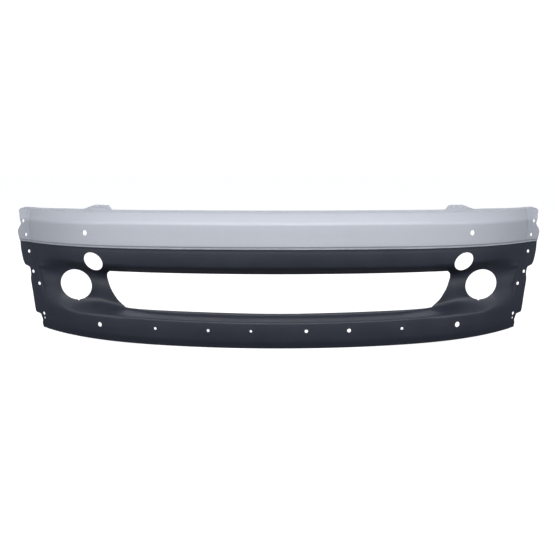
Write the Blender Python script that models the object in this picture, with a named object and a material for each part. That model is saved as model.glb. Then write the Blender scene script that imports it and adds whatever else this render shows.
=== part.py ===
"""Centre bumper cover of a heavy highway truck, two bolted mouldings and their hardware.

Frame: +X to the right seen from the front, -Y forwards, +Z up, metres. The origin is the
bottom centre of the bounding box. A place on the cover is given by its distance x from the
symmetry plane, its height z and its depth behind the bow, the plan curve that the foremost
skin follows.
"""
import math

import bmesh
import bpy
from mathutils import Matrix, Vector

# Overall shape
FRONT_Y = -0.19629  # foremost skin on the symmetry plane
BOW_RADIUS = 3.3  # plan radius of the middle of the cover
CORNER_START = 0.40  # half-width where the corners begin to wrap back
CORNER_GAIN = 0.79  # cubic growth of that wrap, 1/m2
WALL = 0.0032
GAP = 0.0003
STEEL = 0.0020  # thickness of the joint rails and the ear plates

# Heights and depths of the section
SEAM_Z = 0.3605  # joint between the two mouldings
SEAM_DEPTH = 0.0040  # the seam bead and the lower cover stand this far behind the band
FLANGE_DEPTH = 0.0340  # rear edge of both joint flanges
FLANGE_END = 0.930  # both joint flanges stop here, before the end flanges
CREASE_Z = 0.4535  # crease between the band and the slope over it, on the symmetry plane
CREASE_DROP = 0.006  # how much lower that crease runs at the ends
TOP_EDGE_DEPTH = 0.0310
TOP_EDGE_Z = 0.4878
TOP_REAR_DEPTH = 0.0700
TOP_SLOPE = 0.18  # rise of the top flange per metre rearwards
BOTTOM_RISE = 0.0355  # the lower edge climbs by this times x squared
EDGE_TUCK = 0.010  # the lower edge curls back by this
EDGE_TUCK_HEIGHT = 0.035
FACE_LEAN = 0.002  # the lower face leans back by this, between two heights
FACE_LEAN_ZS = (0.05, 0.10)

# Ears on the top flange
EAR_CENTRE = 0.655
EAR_HALF = 0.0225  # half-width of the flat pad
EAR_INNER_RAMP = 0.0270
EAR_OUTER_RAMP = 0.0520
EAR_REAR_DEPTH = 0.1030
EAR_LIFT = 0.0080
EAR_HOLE = 0.014
EAR_HOLE_DEPTH = 0.0880
EAR_LIFT_DEPTHS = (0.040, 0.056)  # the pad rises between these
EAR_SEAT_DEPTHS = (0.0715, 0.0740)  # the bolt seat round the hole rises between these
EAR_SEAT_RISE = 0.0006
EAR_RIVET_DEPTH = 0.0640
EAR_RIVET_SPREAD = 0.0150
EAR_RIVET_HOLE = 0.0046
EAR_PLATE_DEPTHS = (0.0580, 0.1000)
EAR_PLATE_MARGIN = 0.001  # the plate is this much narrower than the pad on each side

# End flanges
CREASE_LOW_X = 0.895
CREASE_HIGH_X = 0.960
CREASE_ZS = (0.15, 0.36)  # the crease moves from the low to the high x between these
JOGGLE = 0.0040
JOGGLE_RUN = 0.0080
END_SLOPE = 0.727  # rearward run of the end flange per metre of width
END_REACH = 0.078

# Recess round the air opening and the lamps
FLOOR_DEPTH = 0.0560
FLOOR_DROP = 0.030  # the floor is this much deeper beside the lamps
BLEND = 0.012  # rounding between the floor, the shelf and the overhang
LIP_Z = 0.302
LIP_DROP = 0.022  # the overhang is this much lower at the ends
LIP_GAIN = 1.5
SHELF_Z = 0.0976
SHELF_RISE = 0.042  # the shelf's front crest climbs by this times x squared
SHELF_GAIN = 4.7
SCOOP_GAIN = 1.8
LAMP_CENTRE = Vector((0.7563, 0.1674, 0.2127))  # y counted from the foremost skin
LAMP_DIAMETER = 0.118
LAMP_YAW = math.radians(8.0)
LAMP_PITCH = math.radians(9.5)
SCOOP_CENTRE = (0.735, 0.215)
SCOOP_RADIUS = 0.100
TOW_CENTRE = Vector((0.6768, 0.1012, 0.3076))
TOW_DIAMETER = 0.070
TOW_YAW = math.radians(12.0)
TOW_PITCH = math.radians(19.0)

# Joint hardware
SCREW_XS = (0.10, 0.30, 0.50, 0.70, 0.86)
SCREW_DEPTH = 0.0205
SCREW_DIAMETER = 0.006
SCREW_CLEARANCE = 0.0072
HEX_ACROSS = 0.010
FLANGE_DIAMETER = 0.0145
RAIL_DEPTHS = (0.0110, 0.0320)
RAIL_BREAK = 0.400  # the middle rail ends here and the side rails start
RAIL_END = 0.905

# Small holes: x, z and diameter, and the end flanges' slots: x and z
BAND_HOLES = ((-0.7043, 0.4126, 0.020), (0.7043, 0.4126, 0.020))
LOWER_HOLES = (
    (-0.6583, 0.0760, 0.017), (-0.4465, 0.0711, 0.010), (-0.2533, 0.0678, 0.0105),
    (-0.0994, 0.0670, 0.009), (0.0994, 0.0670, 0.0125), (0.2533, 0.0678, 0.0145),
    (0.4465, 0.0711, 0.0107), (0.6583, 0.0760, 0.0205),
)
END_SLOT_UPPER = ((0.9915, 0.4411), (0.9790, 0.3882))
END_SLOT_LOWER = ((0.9655, 0.3239), (0.9450, 0.2474), (0.9195, 0.2040), (0.9045, 0.0893))
END_SLOT_SIZE = (0.0175, 0.0130)  # width along the flange and height
END_SCREW_HOLE = (0.9030, 0.0722, 0.0090)
END_TAB_HOLE = (0.9640, 0.0200, 0.011)  # x, depth behind the bow, diameter

# Outline of the right-hand end, x and z, top to bottom
END_OUTLINE = (
    (0.9950, 0.5150), (1.0060, 0.4965), (1.0170, 0.4900), (1.0219, 0.4830),
    (1.0220, 0.4776), (1.0188, 0.4699), (1.0085, 0.4430), (1.0045, 0.4314),
    (1.0078, 0.4235),
    (1.0170, 0.4112), (1.0213, 0.4031), (1.0221, 0.3991), (1.0213, 0.3913),
    (1.0151, 0.3681), (1.0120, 0.3527), (1.0071, 0.3259), (0.9975, 0.2956),
    (0.9922, 0.2844), (0.9825, 0.2717), (0.9685, 0.2672), (0.9615, 0.2640),
    (0.9577, 0.2585), (0.9536, 0.2376), (0.9579, 0.2158), (0.9521, 0.1676),
    (0.9441, 0.1056), (0.9416, 0.0941), (0.9376, 0.0895), (0.9187, 0.0855),
    (0.9158, 0.0800), (0.9105, 0.0650), (0.9118, 0.0550), (0.9147, 0.0427), (0.9125, -0.02),
)
# Outline of the air opening right of the symmetry plane, x and z, top to bottom
OPENING_OUTLINE = (
    (0.0, 0.2649), (0.3549, 0.2662), (0.6100, 0.2683), (0.6260, 0.2658), (0.6377, 0.2564),
    (0.6411, 0.2412), (0.6375, 0.2264), (0.6294, 0.2042), (0.6170, 0.1821),
    (0.6011, 0.1603), (0.5848, 0.1459), (0.5740, 0.1389), (0.5582, 0.1320),
    (0.4732, 0.1290), (0.2127, 0.1233), (0.0, 0.1206),
)


# ---------------------------------------------------------------- shape formulas

def smooth_step(value, low, high):
    """0 below low, 1 above high, and a smooth S between them."""
    t = min(1.0, max(0.0, (value - low) / (high - low)))
    return t * t * (3.0 - 2.0 * t)


def soft_min(a, b, width):
    """The smaller of a and b, with the corner between them rounded over width."""
    h = max(0.0, width - abs(a - b)) / width
    return min(a, b) - h * h * width * 0.25


def bow(x):
    """Rearward offset of the foremost skin at x."""
    s = abs(x)
    return s * s / (2.0 * BOW_RADIUS) + CORNER_GAIN * max(0.0, s - CORNER_START) ** 3


def crease_x(z):
    """Half-width where the end flange starts at height z."""
    low, high = CREASE_ZS
    t = min(1.0, max(0.0, (z - low) / (high - low)))
    return CREASE_LOW_X + (CREASE_HIGH_X - CREASE_LOW_X) * t ** 1.5


def skin_y(x, z):
    """Rearward offset of the skin at x and z: the bow, then the straight end flange."""
    s = abs(x)
    crease = crease_x(z)
    if s <= crease:
        return bow(s)
    step = JOGGLE * smooth_step(s, crease, crease + JOGGLE_RUN)
    return bow(crease) + step + (s - crease) * END_SLOPE


def shelf_crest(s):
    """Height where the recess's lower wall meets the lower face."""
    return SHELF_Z + SHELF_RISE * s * s


def scoop_inside(s, z):
    """Distance inside the recess's lower and outer boundary."""
    cx, cz = SCOOP_CENTRE
    if s < cx:
        return z - min(shelf_crest(s), cz - SCOOP_RADIUS)
    if z < cz:
        return SCOOP_RADIUS - math.hypot(s - cx, z - cz)
    return SCOOP_RADIUS - (s - cx)


def lamp_floor(s, z):
    """Rearward offset of the flat lamp seat at s and z."""
    side = math.tan(LAMP_YAW) * (s - LAMP_CENTRE.x)
    rise = math.tan(LAMP_PITCH) * (z - LAMP_CENTRE.z)
    return LAMP_CENTRE.y + side - rise


def recess(x, z):
    """Depth of the recess behind the bow at x and z."""
    s = abs(x)
    middle = FLOOR_DEPTH + FLOOR_DROP * smooth_step(s, 0.45, 0.70)
    seat = lamp_floor(s, z) - bow(s)
    floor = middle + (seat - middle) * smooth_step(s, 0.64, 0.72)
    gain = SHELF_GAIN + (SCOOP_GAIN - SHELF_GAIN) * smooth_step(s, 0.60, 0.76)
    lower = gain * scoop_inside(s, z)
    lip = LIP_Z - LIP_DROP * smooth_step(s, 0.62, 0.86)
    upper = LIP_GAIN * (lip - z)
    return max(0.0, soft_min(soft_min(floor, lower, BLEND), upper, BLEND))


def bottom_z(x):
    """Height of the lower edge at x."""
    return BOTTOM_RISE * x * x


def ear_share(s):
    """1 on an ear's flat pad, falling to 0 over its ramps."""
    inner = EAR_CENTRE - EAR_HALF
    outer = EAR_CENTRE + EAR_HALF
    rise = smooth_step(s, inner - EAR_INNER_RAMP, inner)
    return rise * (1.0 - smooth_step(s, outer, outer + EAR_OUTER_RAMP))


def ear_lift(s, depth):
    """Height of the ear's pad above the plain top flange."""
    pad = EAR_LIFT * smooth_step(depth, *EAR_LIFT_DEPTHS)
    return ear_share(s) * (pad + EAR_SEAT_RISE * smooth_step(depth, *EAR_SEAT_DEPTHS))


def top_rear_depth(s):
    """Rear edge of the top flange, further back on the ears."""
    return TOP_REAR_DEPTH + (EAR_REAR_DEPTH - TOP_REAR_DEPTH) * ear_share(s)


def top_z(s, depth):
    """Height of the top flange's upper face at s and depth."""
    return TOP_EDGE_Z + TOP_SLOPE * (depth - TOP_EDGE_DEPTH) + ear_lift(s, depth)


def place(x, depth, z):
    """World point at x, depth behind the skin and height z."""
    return Vector((x, FRONT_Y + skin_y(x, z) + depth, z))


# ---------------------------------------------------------------- building blocks

def clear_scene():
    """Remove every object that the file starts with."""
    for thing in list(bpy.data.objects):
        bpy.data.objects.remove(thing, do_unlink=True)


def material(name, colour, roughness, metallic):
    """A Principled material."""
    finish = bpy.data.materials.new(name)
    finish.use_nodes = True
    shader = finish.node_tree.nodes["Principled BSDF"]
    shader.inputs["Base Color"].default_value = (*colour, 1.0)
    shader.inputs["Roughness"].default_value = roughness
    shader.inputs["Metallic"].default_value = metallic
    return finish


def new_object(name, shape, finish=None):
    """Turn a bmesh into an object of the scene."""
    mesh = bpy.data.meshes.new(name)
    shape.normal_update()
    shape.to_mesh(mesh)
    shape.free()
    thing = bpy.data.objects.new(name, mesh)
    bpy.context.collection.objects.link(thing)
    if finish is not None:
        mesh.materials.append(finish)
    return thing


def sheet(rows):
    """A grid of quads through rows of points."""
    shape = bmesh.new()
    grid = [[shape.verts.new(point) for point in row] for row in rows]
    for below, above in zip(grid, grid[1:]):
        for i in range(len(below) - 1):
            shape.faces.new((below[i], below[i + 1], above[i + 1], above[i]))
    return shape


def thicken(thing, thickness):
    """Give a sheet its wall, on the side away from its normals."""
    solid = thing.modifiers.new("wall", "SOLIDIFY")
    solid.thickness = thickness
    solid.offset = -1.0
    solid.use_even_offset = True
    solid.thickness_clamp = 0.0


def prism(name, outline, y_low, y_high):
    """A cutter with an outline in x and z, extruded along y."""
    shape = bmesh.new()
    face = shape.faces.new([shape.verts.new((x, y_low, z)) for x, z in outline])
    extruded = bmesh.ops.extrude_face_region(shape, geom=[face])
    moved = [v for v in extruded["geom"] if isinstance(v, bmesh.types.BMVert)]
    bmesh.ops.translate(shape, verts=moved, vec=(0.0, y_high - y_low, 0.0))
    bmesh.ops.recalc_face_normals(shape, faces=shape.faces)
    return as_cutter(new_object(name, shape))


def as_cutter(thing):
    """Mark an object as a cutter that the build leaves out."""
    thing.hide_render = True
    thing.display_type = "WIRE"
    return thing


def drill(name, centre, direction, diameter, length, sides=20):
    """A round cutter centred on a point along a direction."""
    shape = bmesh.new()
    turn = direction.to_track_quat("Z", "Y").to_matrix().to_4x4()
    bmesh.ops.create_cone(
        shape, cap_ends=True, segments=sides, radius1=diameter / 2, radius2=diameter / 2,
        depth=length, matrix=Matrix.Translation(centre) @ turn)
    return as_cutter(new_object(name, shape))


def cut(thing, cutter):
    """Subtract a cutter."""
    boolean = thing.modifiers.new(cutter.name, "BOOLEAN")
    boolean.operation = "DIFFERENCE"
    boolean.solver = "EXACT"
    boolean.object = cutter


def outward(x, z):
    """Direction of the skin's horizontal normal at x and z."""
    step = 0.002
    run = skin_y(abs(x) + step, z) - skin_y(abs(x) - step, z)
    side = math.copysign(run / (2 * step), x)
    return Vector((side, -1.0, 0.0)).normalized()


def aimed(side, yaw, pitch):
    """Direction turned outwards by yaw and downwards by pitch from straight ahead."""
    return Vector((side * math.sin(yaw), -math.cos(yaw), -math.tan(pitch))).normalized()


# ---------------------------------------------------------------- grids

def columns(fine_from, fine_step, coarse_step, extra=()):
    """Half-widths of a cover's columns up to its crease, as parts of the crease.

    The columns in extra replace all others between them, so a pad there stays flat.
    """
    coarse = round(fine_from / coarse_step)
    xs = [fine_from * i / coarse for i in range(coarse)]
    fine = round((CREASE_HIGH_X - fine_from) / fine_step)
    xs += [fine_from + (CREASE_HIGH_X - fine_from) * i / fine for i in range(fine + 1)]
    if extra:
        xs = [x for x in xs if not extra[0] - 0.012 < x < extra[-1] + 0.012] + list(extra)
    return [x / CREASE_HIGH_X for x in sorted(xs)]


def across(shares, z):
    """All x values of a row at height z, left to right, end flanges included."""
    crease = crease_x(z)
    half = [share * crease for share in shares]
    half += [crease + JOGGLE_RUN, crease + END_REACH]
    return [-x for x in reversed(half[1:])] + half


# ---------------------------------------------------------------- the two covers

def upper_section(s):
    """Outer line of the upper cover at half-width s, as depth and height pairs."""
    rear = top_rear_depth(s)
    crease = CREASE_Z - CREASE_DROP * smooth_step(s, 0.5, 0.95)
    points = [
        (FLANGE_DEPTH, SEAM_Z), (SEAM_DEPTH, SEAM_Z), (SEAM_DEPTH, 0.3695), (0.0, 0.3735),
        (0.0, 0.4150), (0.0, crease - 0.006), (0.0030, crease + 0.003),
        (0.0235, 0.4800), (0.0300, 0.4862),
    ]
    seat = [depth + (rear - TOP_REAR_DEPTH) * 0.15 for depth in (0.0665, 0.0690)]
    for depth in (0.0400, 0.0560, *seat, rear):
        points.append((depth, top_z(s, depth)))
    return points


def build_upper_cover(finish):
    """The silver-painted moulding: band, top flange with ears and tabs, joint flange."""
    inner = EAR_CENTRE - EAR_HALF
    outer = EAR_CENTRE + EAR_HALF
    ear = (inner - EAR_INNER_RAMP, inner, outer, outer + EAR_OUTER_RAMP)
    shares = columns(0.56, 0.050, 0.070, ear)
    count = len(upper_section(0.0))
    rows = []
    for level in range(count):
        row = []
        for x in across(shares, SEAM_Z + 0.0012):
            depth, z = upper_section(abs(x))[level]
            row.append(place(x, depth, z))
        rows.append(row)
    cover = new_object("upper_cover", sheet(rows), finish)
    thicken(cover, WALL)
    cut_ends(cover)
    cut_flange_ends(cover, "upper")
    for number, (x, z, diameter) in enumerate(BAND_HOLES):
        spot = place(x, 0.0, z)
        cut(cover, drill(f"band_drill_{number}", spot, outward(x, z), diameter, 0.05))
    slot_ends(cover, "upper", END_SLOT_UPPER)
    for side in (-1, 1):
        height = top_z(EAR_CENTRE, EAR_HOLE_DEPTH)
        spot = place(side * EAR_CENTRE, EAR_HOLE_DEPTH, height)
        cut(cover, drill(f"ear_drill_{side}", spot, Vector((0, 0, 1)), EAR_HOLE, 0.04))
        x, depth, diameter = END_TAB_HOLE
        spot = place(side * x, depth + TOP_EDGE_DEPTH, top_z(x, depth + TOP_EDGE_DEPTH))
        cut(cover, drill(f"tab_drill_{side}", spot, Vector((0, 0, 1)), diameter, 0.02))
    drill_joint(cover, "upper")
    return cover


def lower_levels():
    """Heights of the lower cover's rows on the symmetry plane, top to bottom."""
    band = [0.340, 0.313]
    curl = [0.298, 0.287, 0.276, 0.262]
    floor = [0.240, 0.205, 0.170, 0.145, 0.126]
    shelf = [0.1130, 0.1080, 0.1040, 0.0995, 0.0950]
    face = [0.085, 0.060, 0.035, 0.016, 0.0]
    return band + curl + floor + shelf + face


def lower_row_z(level, s):
    """Height of a row at half-width s: low rows follow the shelf's crest and the edge."""
    crest = min(shelf_crest(s), SCOOP_CENTRE[1] - SCOOP_RADIUS) - SHELF_Z
    edge = bottom_z(s)
    if level > 0.17:
        return level
    if level > SHELF_Z:
        return level + crest * min(1.0, (0.17 - level) / 0.044)
    low = 1.0 - level / SHELF_Z
    return level + crest * (1.0 - low) + edge * low


def build_lower_cover(finish):
    """The charcoal moulding: band, recess with opening, lamp seats, face, joint flange."""
    shares = columns(0.56, 0.033, 0.070)
    rows = []
    top = SEAM_Z - GAP
    for depth in (FLANGE_DEPTH, SEAM_DEPTH):
        rows.append([place(x, depth, top) for x in across(shares, top)])
    for level in lower_levels():
        row = []
        for x in across(shares, lower_row_z(level, CREASE_LOW_X)):
            z = lower_row_z(level, abs(x))
            tuck = EDGE_TUCK * (1.0 - smooth_step(z - bottom_z(x), 0.0, EDGE_TUCK_HEIGHT))
            lean = FACE_LEAN * (1.0 - smooth_step(z, *FACE_LEAN_ZS))
            row.append(place(x, SEAM_DEPTH + recess(x, z) + tuck + lean, z))
        rows.append(row)
    rows.reverse()
    cover = new_object("lower_cover", sheet(rows), finish)
    thicken(cover, WALL)
    outline = list(OPENING_OUTLINE) + [(-x, z) for x, z in reversed(OPENING_OUTLINE[1:-1])]
    cut(cover, prism("opening_cutter", outline, FRONT_Y - 0.05, FRONT_Y + 0.30))
    cut_ends(cover)
    cut_flange_ends(cover, "lower")
    for side in (-1, 1):
        cut(cover, lamp_cutter(side))
        centre = Vector((side * TOW_CENTRE.x, FRONT_Y + TOW_CENTRE.y, TOW_CENTRE.z))
        direction = aimed(side, TOW_YAW, TOW_PITCH)
        cut(cover, drill(f"tow_drill_{side}", centre, direction, TOW_DIAMETER, 0.11, 32))
    for number, (x, z, diameter) in enumerate(LOWER_HOLES):
        spot = place(x, SEAM_DEPTH, z)
        cut(cover, drill(f"face_drill_{number}", spot, outward(x, z), diameter, 0.04, 12))
    slot_ends(cover, "lower", END_SLOT_LOWER)
    for side in (-1, 1):
        x, z, diameter = END_SCREW_HOLE
        spot = place(side * x, 0.0, z)
        direction = outward(side * x, z)
        cut(cover, drill(f"end_screw_drill_{side}", spot, direction, diameter, 0.03, 10))
    drill_joint(cover, "lower")
    return cover


def lamp_cutter(side):
    """A round cutter for a lamp aperture with the small key notch at its bottom."""
    outline = []
    radius = LAMP_DIAMETER / 2
    for step in range(40):
        angle = 2.0 * math.pi * (step + 0.5) / 40
        outline.append((radius * math.sin(angle), -radius * math.cos(angle)))
    outline.append((0.0, -radius - 0.0045))
    cutter = prism(f"lamp_cutter_{side}", outline, -0.06, 0.06)
    turn = Matrix.Rotation(side * LAMP_YAW, 4, "Z") @ Matrix.Rotation(LAMP_PITCH, 4, "X")
    spot = Vector((side * LAMP_CENTRE.x, FRONT_Y + LAMP_CENTRE.y, LAMP_CENTRE.z))
    cutter.data.transform(Matrix.Translation(spot) @ turn)
    return cutter


def cut_ends(cover):
    """Trim both ends of a cover to the wavy outline."""
    for side in (-1, 1):
        outline = [(side * x, z) for x, z in END_OUTLINE]
        outline += [(side * 1.2, -0.02), (side * 1.2, 0.515)]
        cut(cover, prism(f"end_cutter_{cover.name}_{side}", outline, FRONT_Y, FRONT_Y + 0.6))


def cut_flange_ends(cover, name):
    """Stop a joint flange short of the end flanges."""
    reach = CREASE_HIGH_X + END_REACH
    for side in (-1, 1):
        xs = [side * (FLANGE_END + (reach - FLANGE_END) * i / 4) for i in range(5)]
        depths = (SEAM_DEPTH + WALL + 0.0015, FLANGE_DEPTH + 0.02)
        label = f"flange_end_cutter_{name}_{side}"
        block = strip(label, xs, depths, lambda _s, _depth: SEAM_Z - 0.006, 0.012, None)
        cut(cover, as_cutter(block))


def slot_ends(cover, name, places):
    """Bolt slots of both end flanges, longer along the flange than high."""
    width, height = END_SLOT_SIZE
    for side in (-1, 1):
        for number, (x, z) in enumerate(places):
            spot = place(side * x, 0.0, z)
            direction = outward(side * x, z)
            slot = drill(f"end_slot_{name}_{side}_{number}", Vector(), direction, height, 0.03, 14)
            along = direction.cross(Vector((0, 0, 1)))
            for vertex in slot.data.vertices:
                reach = vertex.co.dot(along)
                vertex.co += along * reach * (width / height - 1.0)
            slot.data.transform(Matrix.Translation(spot))
            cut(cover, slot)


def screw_places():
    """World x and y of every joint screw, left to right."""
    xs = [-x for x in reversed(SCREW_XS)] + list(SCREW_XS)
    return [(x, FRONT_Y + bow(x) + SCREW_DEPTH) for x in xs]


def drill_joint(cover, name):
    """Screw holes of a joint flange."""
    for number, (x, y) in enumerate(screw_places()):
        spot = Vector((x, y, SEAM_Z))
        label = f"joint_drill_{name}_{number}"
        cut(cover, drill(label, spot, Vector((0, 0, 1)), SCREW_CLEARANCE, 0.012, 12))


# ---------------------------------------------------------------- hardware

def strip(name, xs, depths, height, thickness, finish):
    """A flat strip that follows the bow; height gives its lower face."""
    shape = bmesh.new()
    rings = []
    for x in xs:
        ring = []
        for depth, lift in ((depths[0], 0), (depths[1], 0), (depths[1], 1), (depths[0], 1)):
            z = height(abs(x), depth)
            ring.append(shape.verts.new(place(x, depth, z) + Vector((0, 0, lift * thickness))))
        rings.append(ring)
    for left, right in zip(rings, rings[1:]):
        for i in range(4):
            j = (i + 1) % 4
            shape.faces.new((left[i], right[i], right[j], left[j]))
    shape.faces.new(rings[0])
    shape.faces.new(list(reversed(rings[-1])))
    bmesh.ops.recalc_face_normals(shape, faces=shape.faces)
    return new_object(name, shape, finish)


def rail_bottom(_s, _depth):
    """Lower face of the joint rails, just above the upper cover's joint flange."""
    return SEAM_Z + WALL + GAP


def build_rails(finish):
    """Three steel strips on the joint flange, drilled for the screws."""
    spans = {
        "joint_rail_left": (-RAIL_END, -RAIL_BREAK - 0.010),
        "joint_rail_centre": (-RAIL_BREAK + 0.010, RAIL_BREAK - 0.010),
        "joint_rail_right": (RAIL_BREAK + 0.010, RAIL_END),
    }
    for name, (start, end) in spans.items():
        steps = 12
        xs = [start + (end - start) * i / steps for i in range(steps + 1)]
        rail = strip(name, xs, RAIL_DEPTHS, rail_bottom, STEEL, finish)
        for number, (x, y) in enumerate(screw_places()):
            if start < x < end:
                spot = Vector((x, y, rail_bottom(0, 0)))
                label = f"{name}_drill_{number}"
                cut(rail, drill(label, spot, Vector((0, 0, 1)), SCREW_CLEARANCE, 0.01, 12))


def turned(name, profile, sides, finish):
    """A closed turned solid through radius and height pairs, ended on its axis."""
    shape = bmesh.new()
    rings = []
    for radius, z in profile:
        angles = [2 * math.pi * i / sides for i in range(sides)]
        rings.append([shape.verts.new((radius * math.cos(a), radius * math.sin(a), z))
                      for a in angles])
    for low, high in zip(rings, rings[1:]):
        for i in range(sides):
            j = (i + 1) % sides
            shape.faces.new((low[i], low[j], high[j], high[i]))
    shape.faces.new(list(reversed(rings[0])))
    shape.faces.new(rings[-1])
    return new_object(name, shape, finish)


def build_screws(finish):
    """Flanged hexagon screws, heads under the lower joint flange."""
    seat = SEAM_Z - GAP - WALL - GAP
    radius = FLANGE_DIAMETER / 2
    hexagon = HEX_ACROSS / math.sqrt(3.0)
    shank = SCREW_DIAMETER / 2
    tip = SEAM_Z + WALL + STEEL + 0.0105
    profile = [
        (hexagon * 0.9, seat - 0.0062), (hexagon, seat - 0.0055), (hexagon, seat - 0.0022),
        (radius, seat - 0.0010), (radius, seat), (shank, seat), (shank, tip - 0.001),
        (shank * 0.75, tip),
    ]
    for number, (x, y) in enumerate(screw_places(), start=1):
        screw = turned(f"joint_screw_{number:02d}", profile, 12, finish)
        flatten_hexagon(screw, hexagon, seat - 0.0021)
        screw.location = (x, y, 0.0)


def flatten_hexagon(thing, hexagon, top):
    """Pull every second point of a twelve-sided head in, which makes it six-sided."""
    flat = hexagon * math.cos(math.pi / 6)
    for vertex in thing.data.vertices:
        radius = math.hypot(vertex.co.x, vertex.co.y)
        angle = math.degrees(math.atan2(vertex.co.y, vertex.co.x)) % 60.0
        if vertex.co.z < top and radius > hexagon * 0.8 and abs(angle - 30.0) < 1.0:
            vertex.co.x *= flat / hexagon
            vertex.co.y *= flat / hexagon


def build_nuts(finish):
    """Flanged hexagon nuts on the rails."""
    seat = rail_bottom(0, 0) + STEEL + GAP
    hexagon = HEX_ACROSS / math.sqrt(3.0)
    radius = FLANGE_DIAMETER / 2
    bore = SCREW_DIAMETER / 2 + GAP
    loop = [
        (bore, seat), (radius, seat), (radius, seat + 0.0010), (hexagon, seat + 0.0022),
        (hexagon, seat + 0.0058), (hexagon * 0.9, seat + 0.0064), (bore, seat + 0.0064),
    ]
    for number, (x, y) in enumerate(screw_places(), start=1):
        shape = bmesh.new()
        rings = []
        for distance, z in loop:
            angles = [math.pi * i / 6 for i in range(12)]
            rings.append([shape.verts.new((distance * math.cos(a), distance * math.sin(a), z))
                          for a in angles])
        for k, low in enumerate(rings):
            high = rings[(k + 1) % len(rings)]
            for i in range(12):
                j = (i + 1) % 12
                shape.faces.new((low[i], low[j], high[j], high[i]))
        nut = new_object(f"joint_nut_{number:02d}", shape, finish)
        for vertex in nut.data.vertices:
            distance = math.hypot(vertex.co.x, vertex.co.y)
            angle = math.degrees(math.atan2(vertex.co.y, vertex.co.x)) % 60.0
            on_hexagon = vertex.co.z > seat + 0.0021 and distance > hexagon * 0.8
            if on_hexagon and abs(angle - 30.0) < 1.0:
                vertex.co.x *= math.cos(math.pi / 6)
                vertex.co.y *= math.cos(math.pi / 6)
        nut.location = (x, y, 0.0)


def build_ear_plates(plate_finish, rivet_finish):
    """Steel plates under the ears, each held by two rivets and open round the ear hole."""
    drop = (WALL + 2 * GAP) / math.cos(math.atan(TOP_SLOPE)) + STEEL

    def under(_s, depth):
        return top_z(EAR_CENTRE, depth) - drop

    for side, word in ((-1, "left"), (1, "right")):
        reach = EAR_HALF - EAR_PLATE_MARGIN
        xs = [side * EAR_CENTRE - reach, side * EAR_CENTRE + reach]
        plate = strip(f"ear_plate_{word}", xs, EAR_PLATE_DEPTHS, under, STEEL, plate_finish)
        height = top_z(EAR_CENTRE, EAR_HOLE_DEPTH)
        spot = place(side * EAR_CENTRE, EAR_HOLE_DEPTH, height)
        cut(plate, drill(f"plate_drill_{side}", spot, Vector((0, 0, 1)), EAR_HOLE, 0.04))
        for sign, end in ((-1, "inner"), (1, "outer")):
            x = side * (EAR_CENTRE + sign * EAR_RIVET_SPREAD)
            depth = EAR_RIVET_DEPTH
            spot = place(x, depth, top_z(EAR_CENTRE, depth))
            label = f"rivet_drill_{word}_{end}"
            bore = drill(label, spot, ear_normal(), EAR_RIVET_HOLE, 0.03, 12)
            cut(plate, bore)
            cut(bpy.data.objects["upper_cover"], bore)
            build_rivet(f"ear_rivet_{word}_{end}", spot, rivet_finish)


def ear_normal():
    """Upward normal of the sloping top flange."""
    return Vector((0.0, -TOP_SLOPE, 1.0)).normalized()


def build_rivet(name, spot, finish):
    """A domed rivet with its shank through the ear and the plate."""
    top = GAP
    bottom = -(WALL + 2 * GAP + STEEL) - GAP
    profile = [
        (0.0030, bottom - 0.0014), (0.0040, bottom - 0.0006), (0.0040, bottom),
        (0.0020, bottom), (0.0020, top), (0.0045, top), (0.0042, top + 0.0008),
        (0.0026, top + 0.0016),
    ]
    rivet = turned(name, profile, 12, finish)
    turn = ear_normal().to_track_quat("Z", "Y").to_matrix().to_4x4()
    rivet.data.transform(Matrix.Translation(spot) @ turn)


def main():
    """Build the whole cover."""
    clear_scene()
    silver = material("silver_paint", (0.46, 0.48, 0.52), 0.42, 0.55)
    charcoal = material("charcoal_moulding", (0.025, 0.028, 0.033), 0.55, 0.0)
    zinc = material("zinc_plated_steel", (0.55, 0.56, 0.55), 0.38, 1.0)
    steel = material("black_coated_steel", (0.06, 0.06, 0.065), 0.5, 0.6)
    aluminium = material("rivet_aluminium", (0.70, 0.71, 0.72), 0.35, 1.0)
    build_upper_cover(silver)
    build_lower_cover(charcoal)
    build_rails(steel)
    build_screws(zinc)
    build_nuts(zinc)
    build_ear_plates(steel, aluminium)


main()
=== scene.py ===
"""Looks of the two-moulding bumper cover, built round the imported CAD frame.

Frame: +X to the right seen from the front, -Y forwards, +Z up, metres. A place on the cover is
given by its distance x from the symmetry plane, its height z and its depth behind the bow, the
plan curve that the foremost skin follows.
"""
import logging
import math
from cmath import exp, phase
from dataclasses import dataclass, field
from enum import Enum
from typing import Any, Callable, Iterable, Optional, Sequence

import bpy
from mathutils import Matrix, Vector


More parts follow.
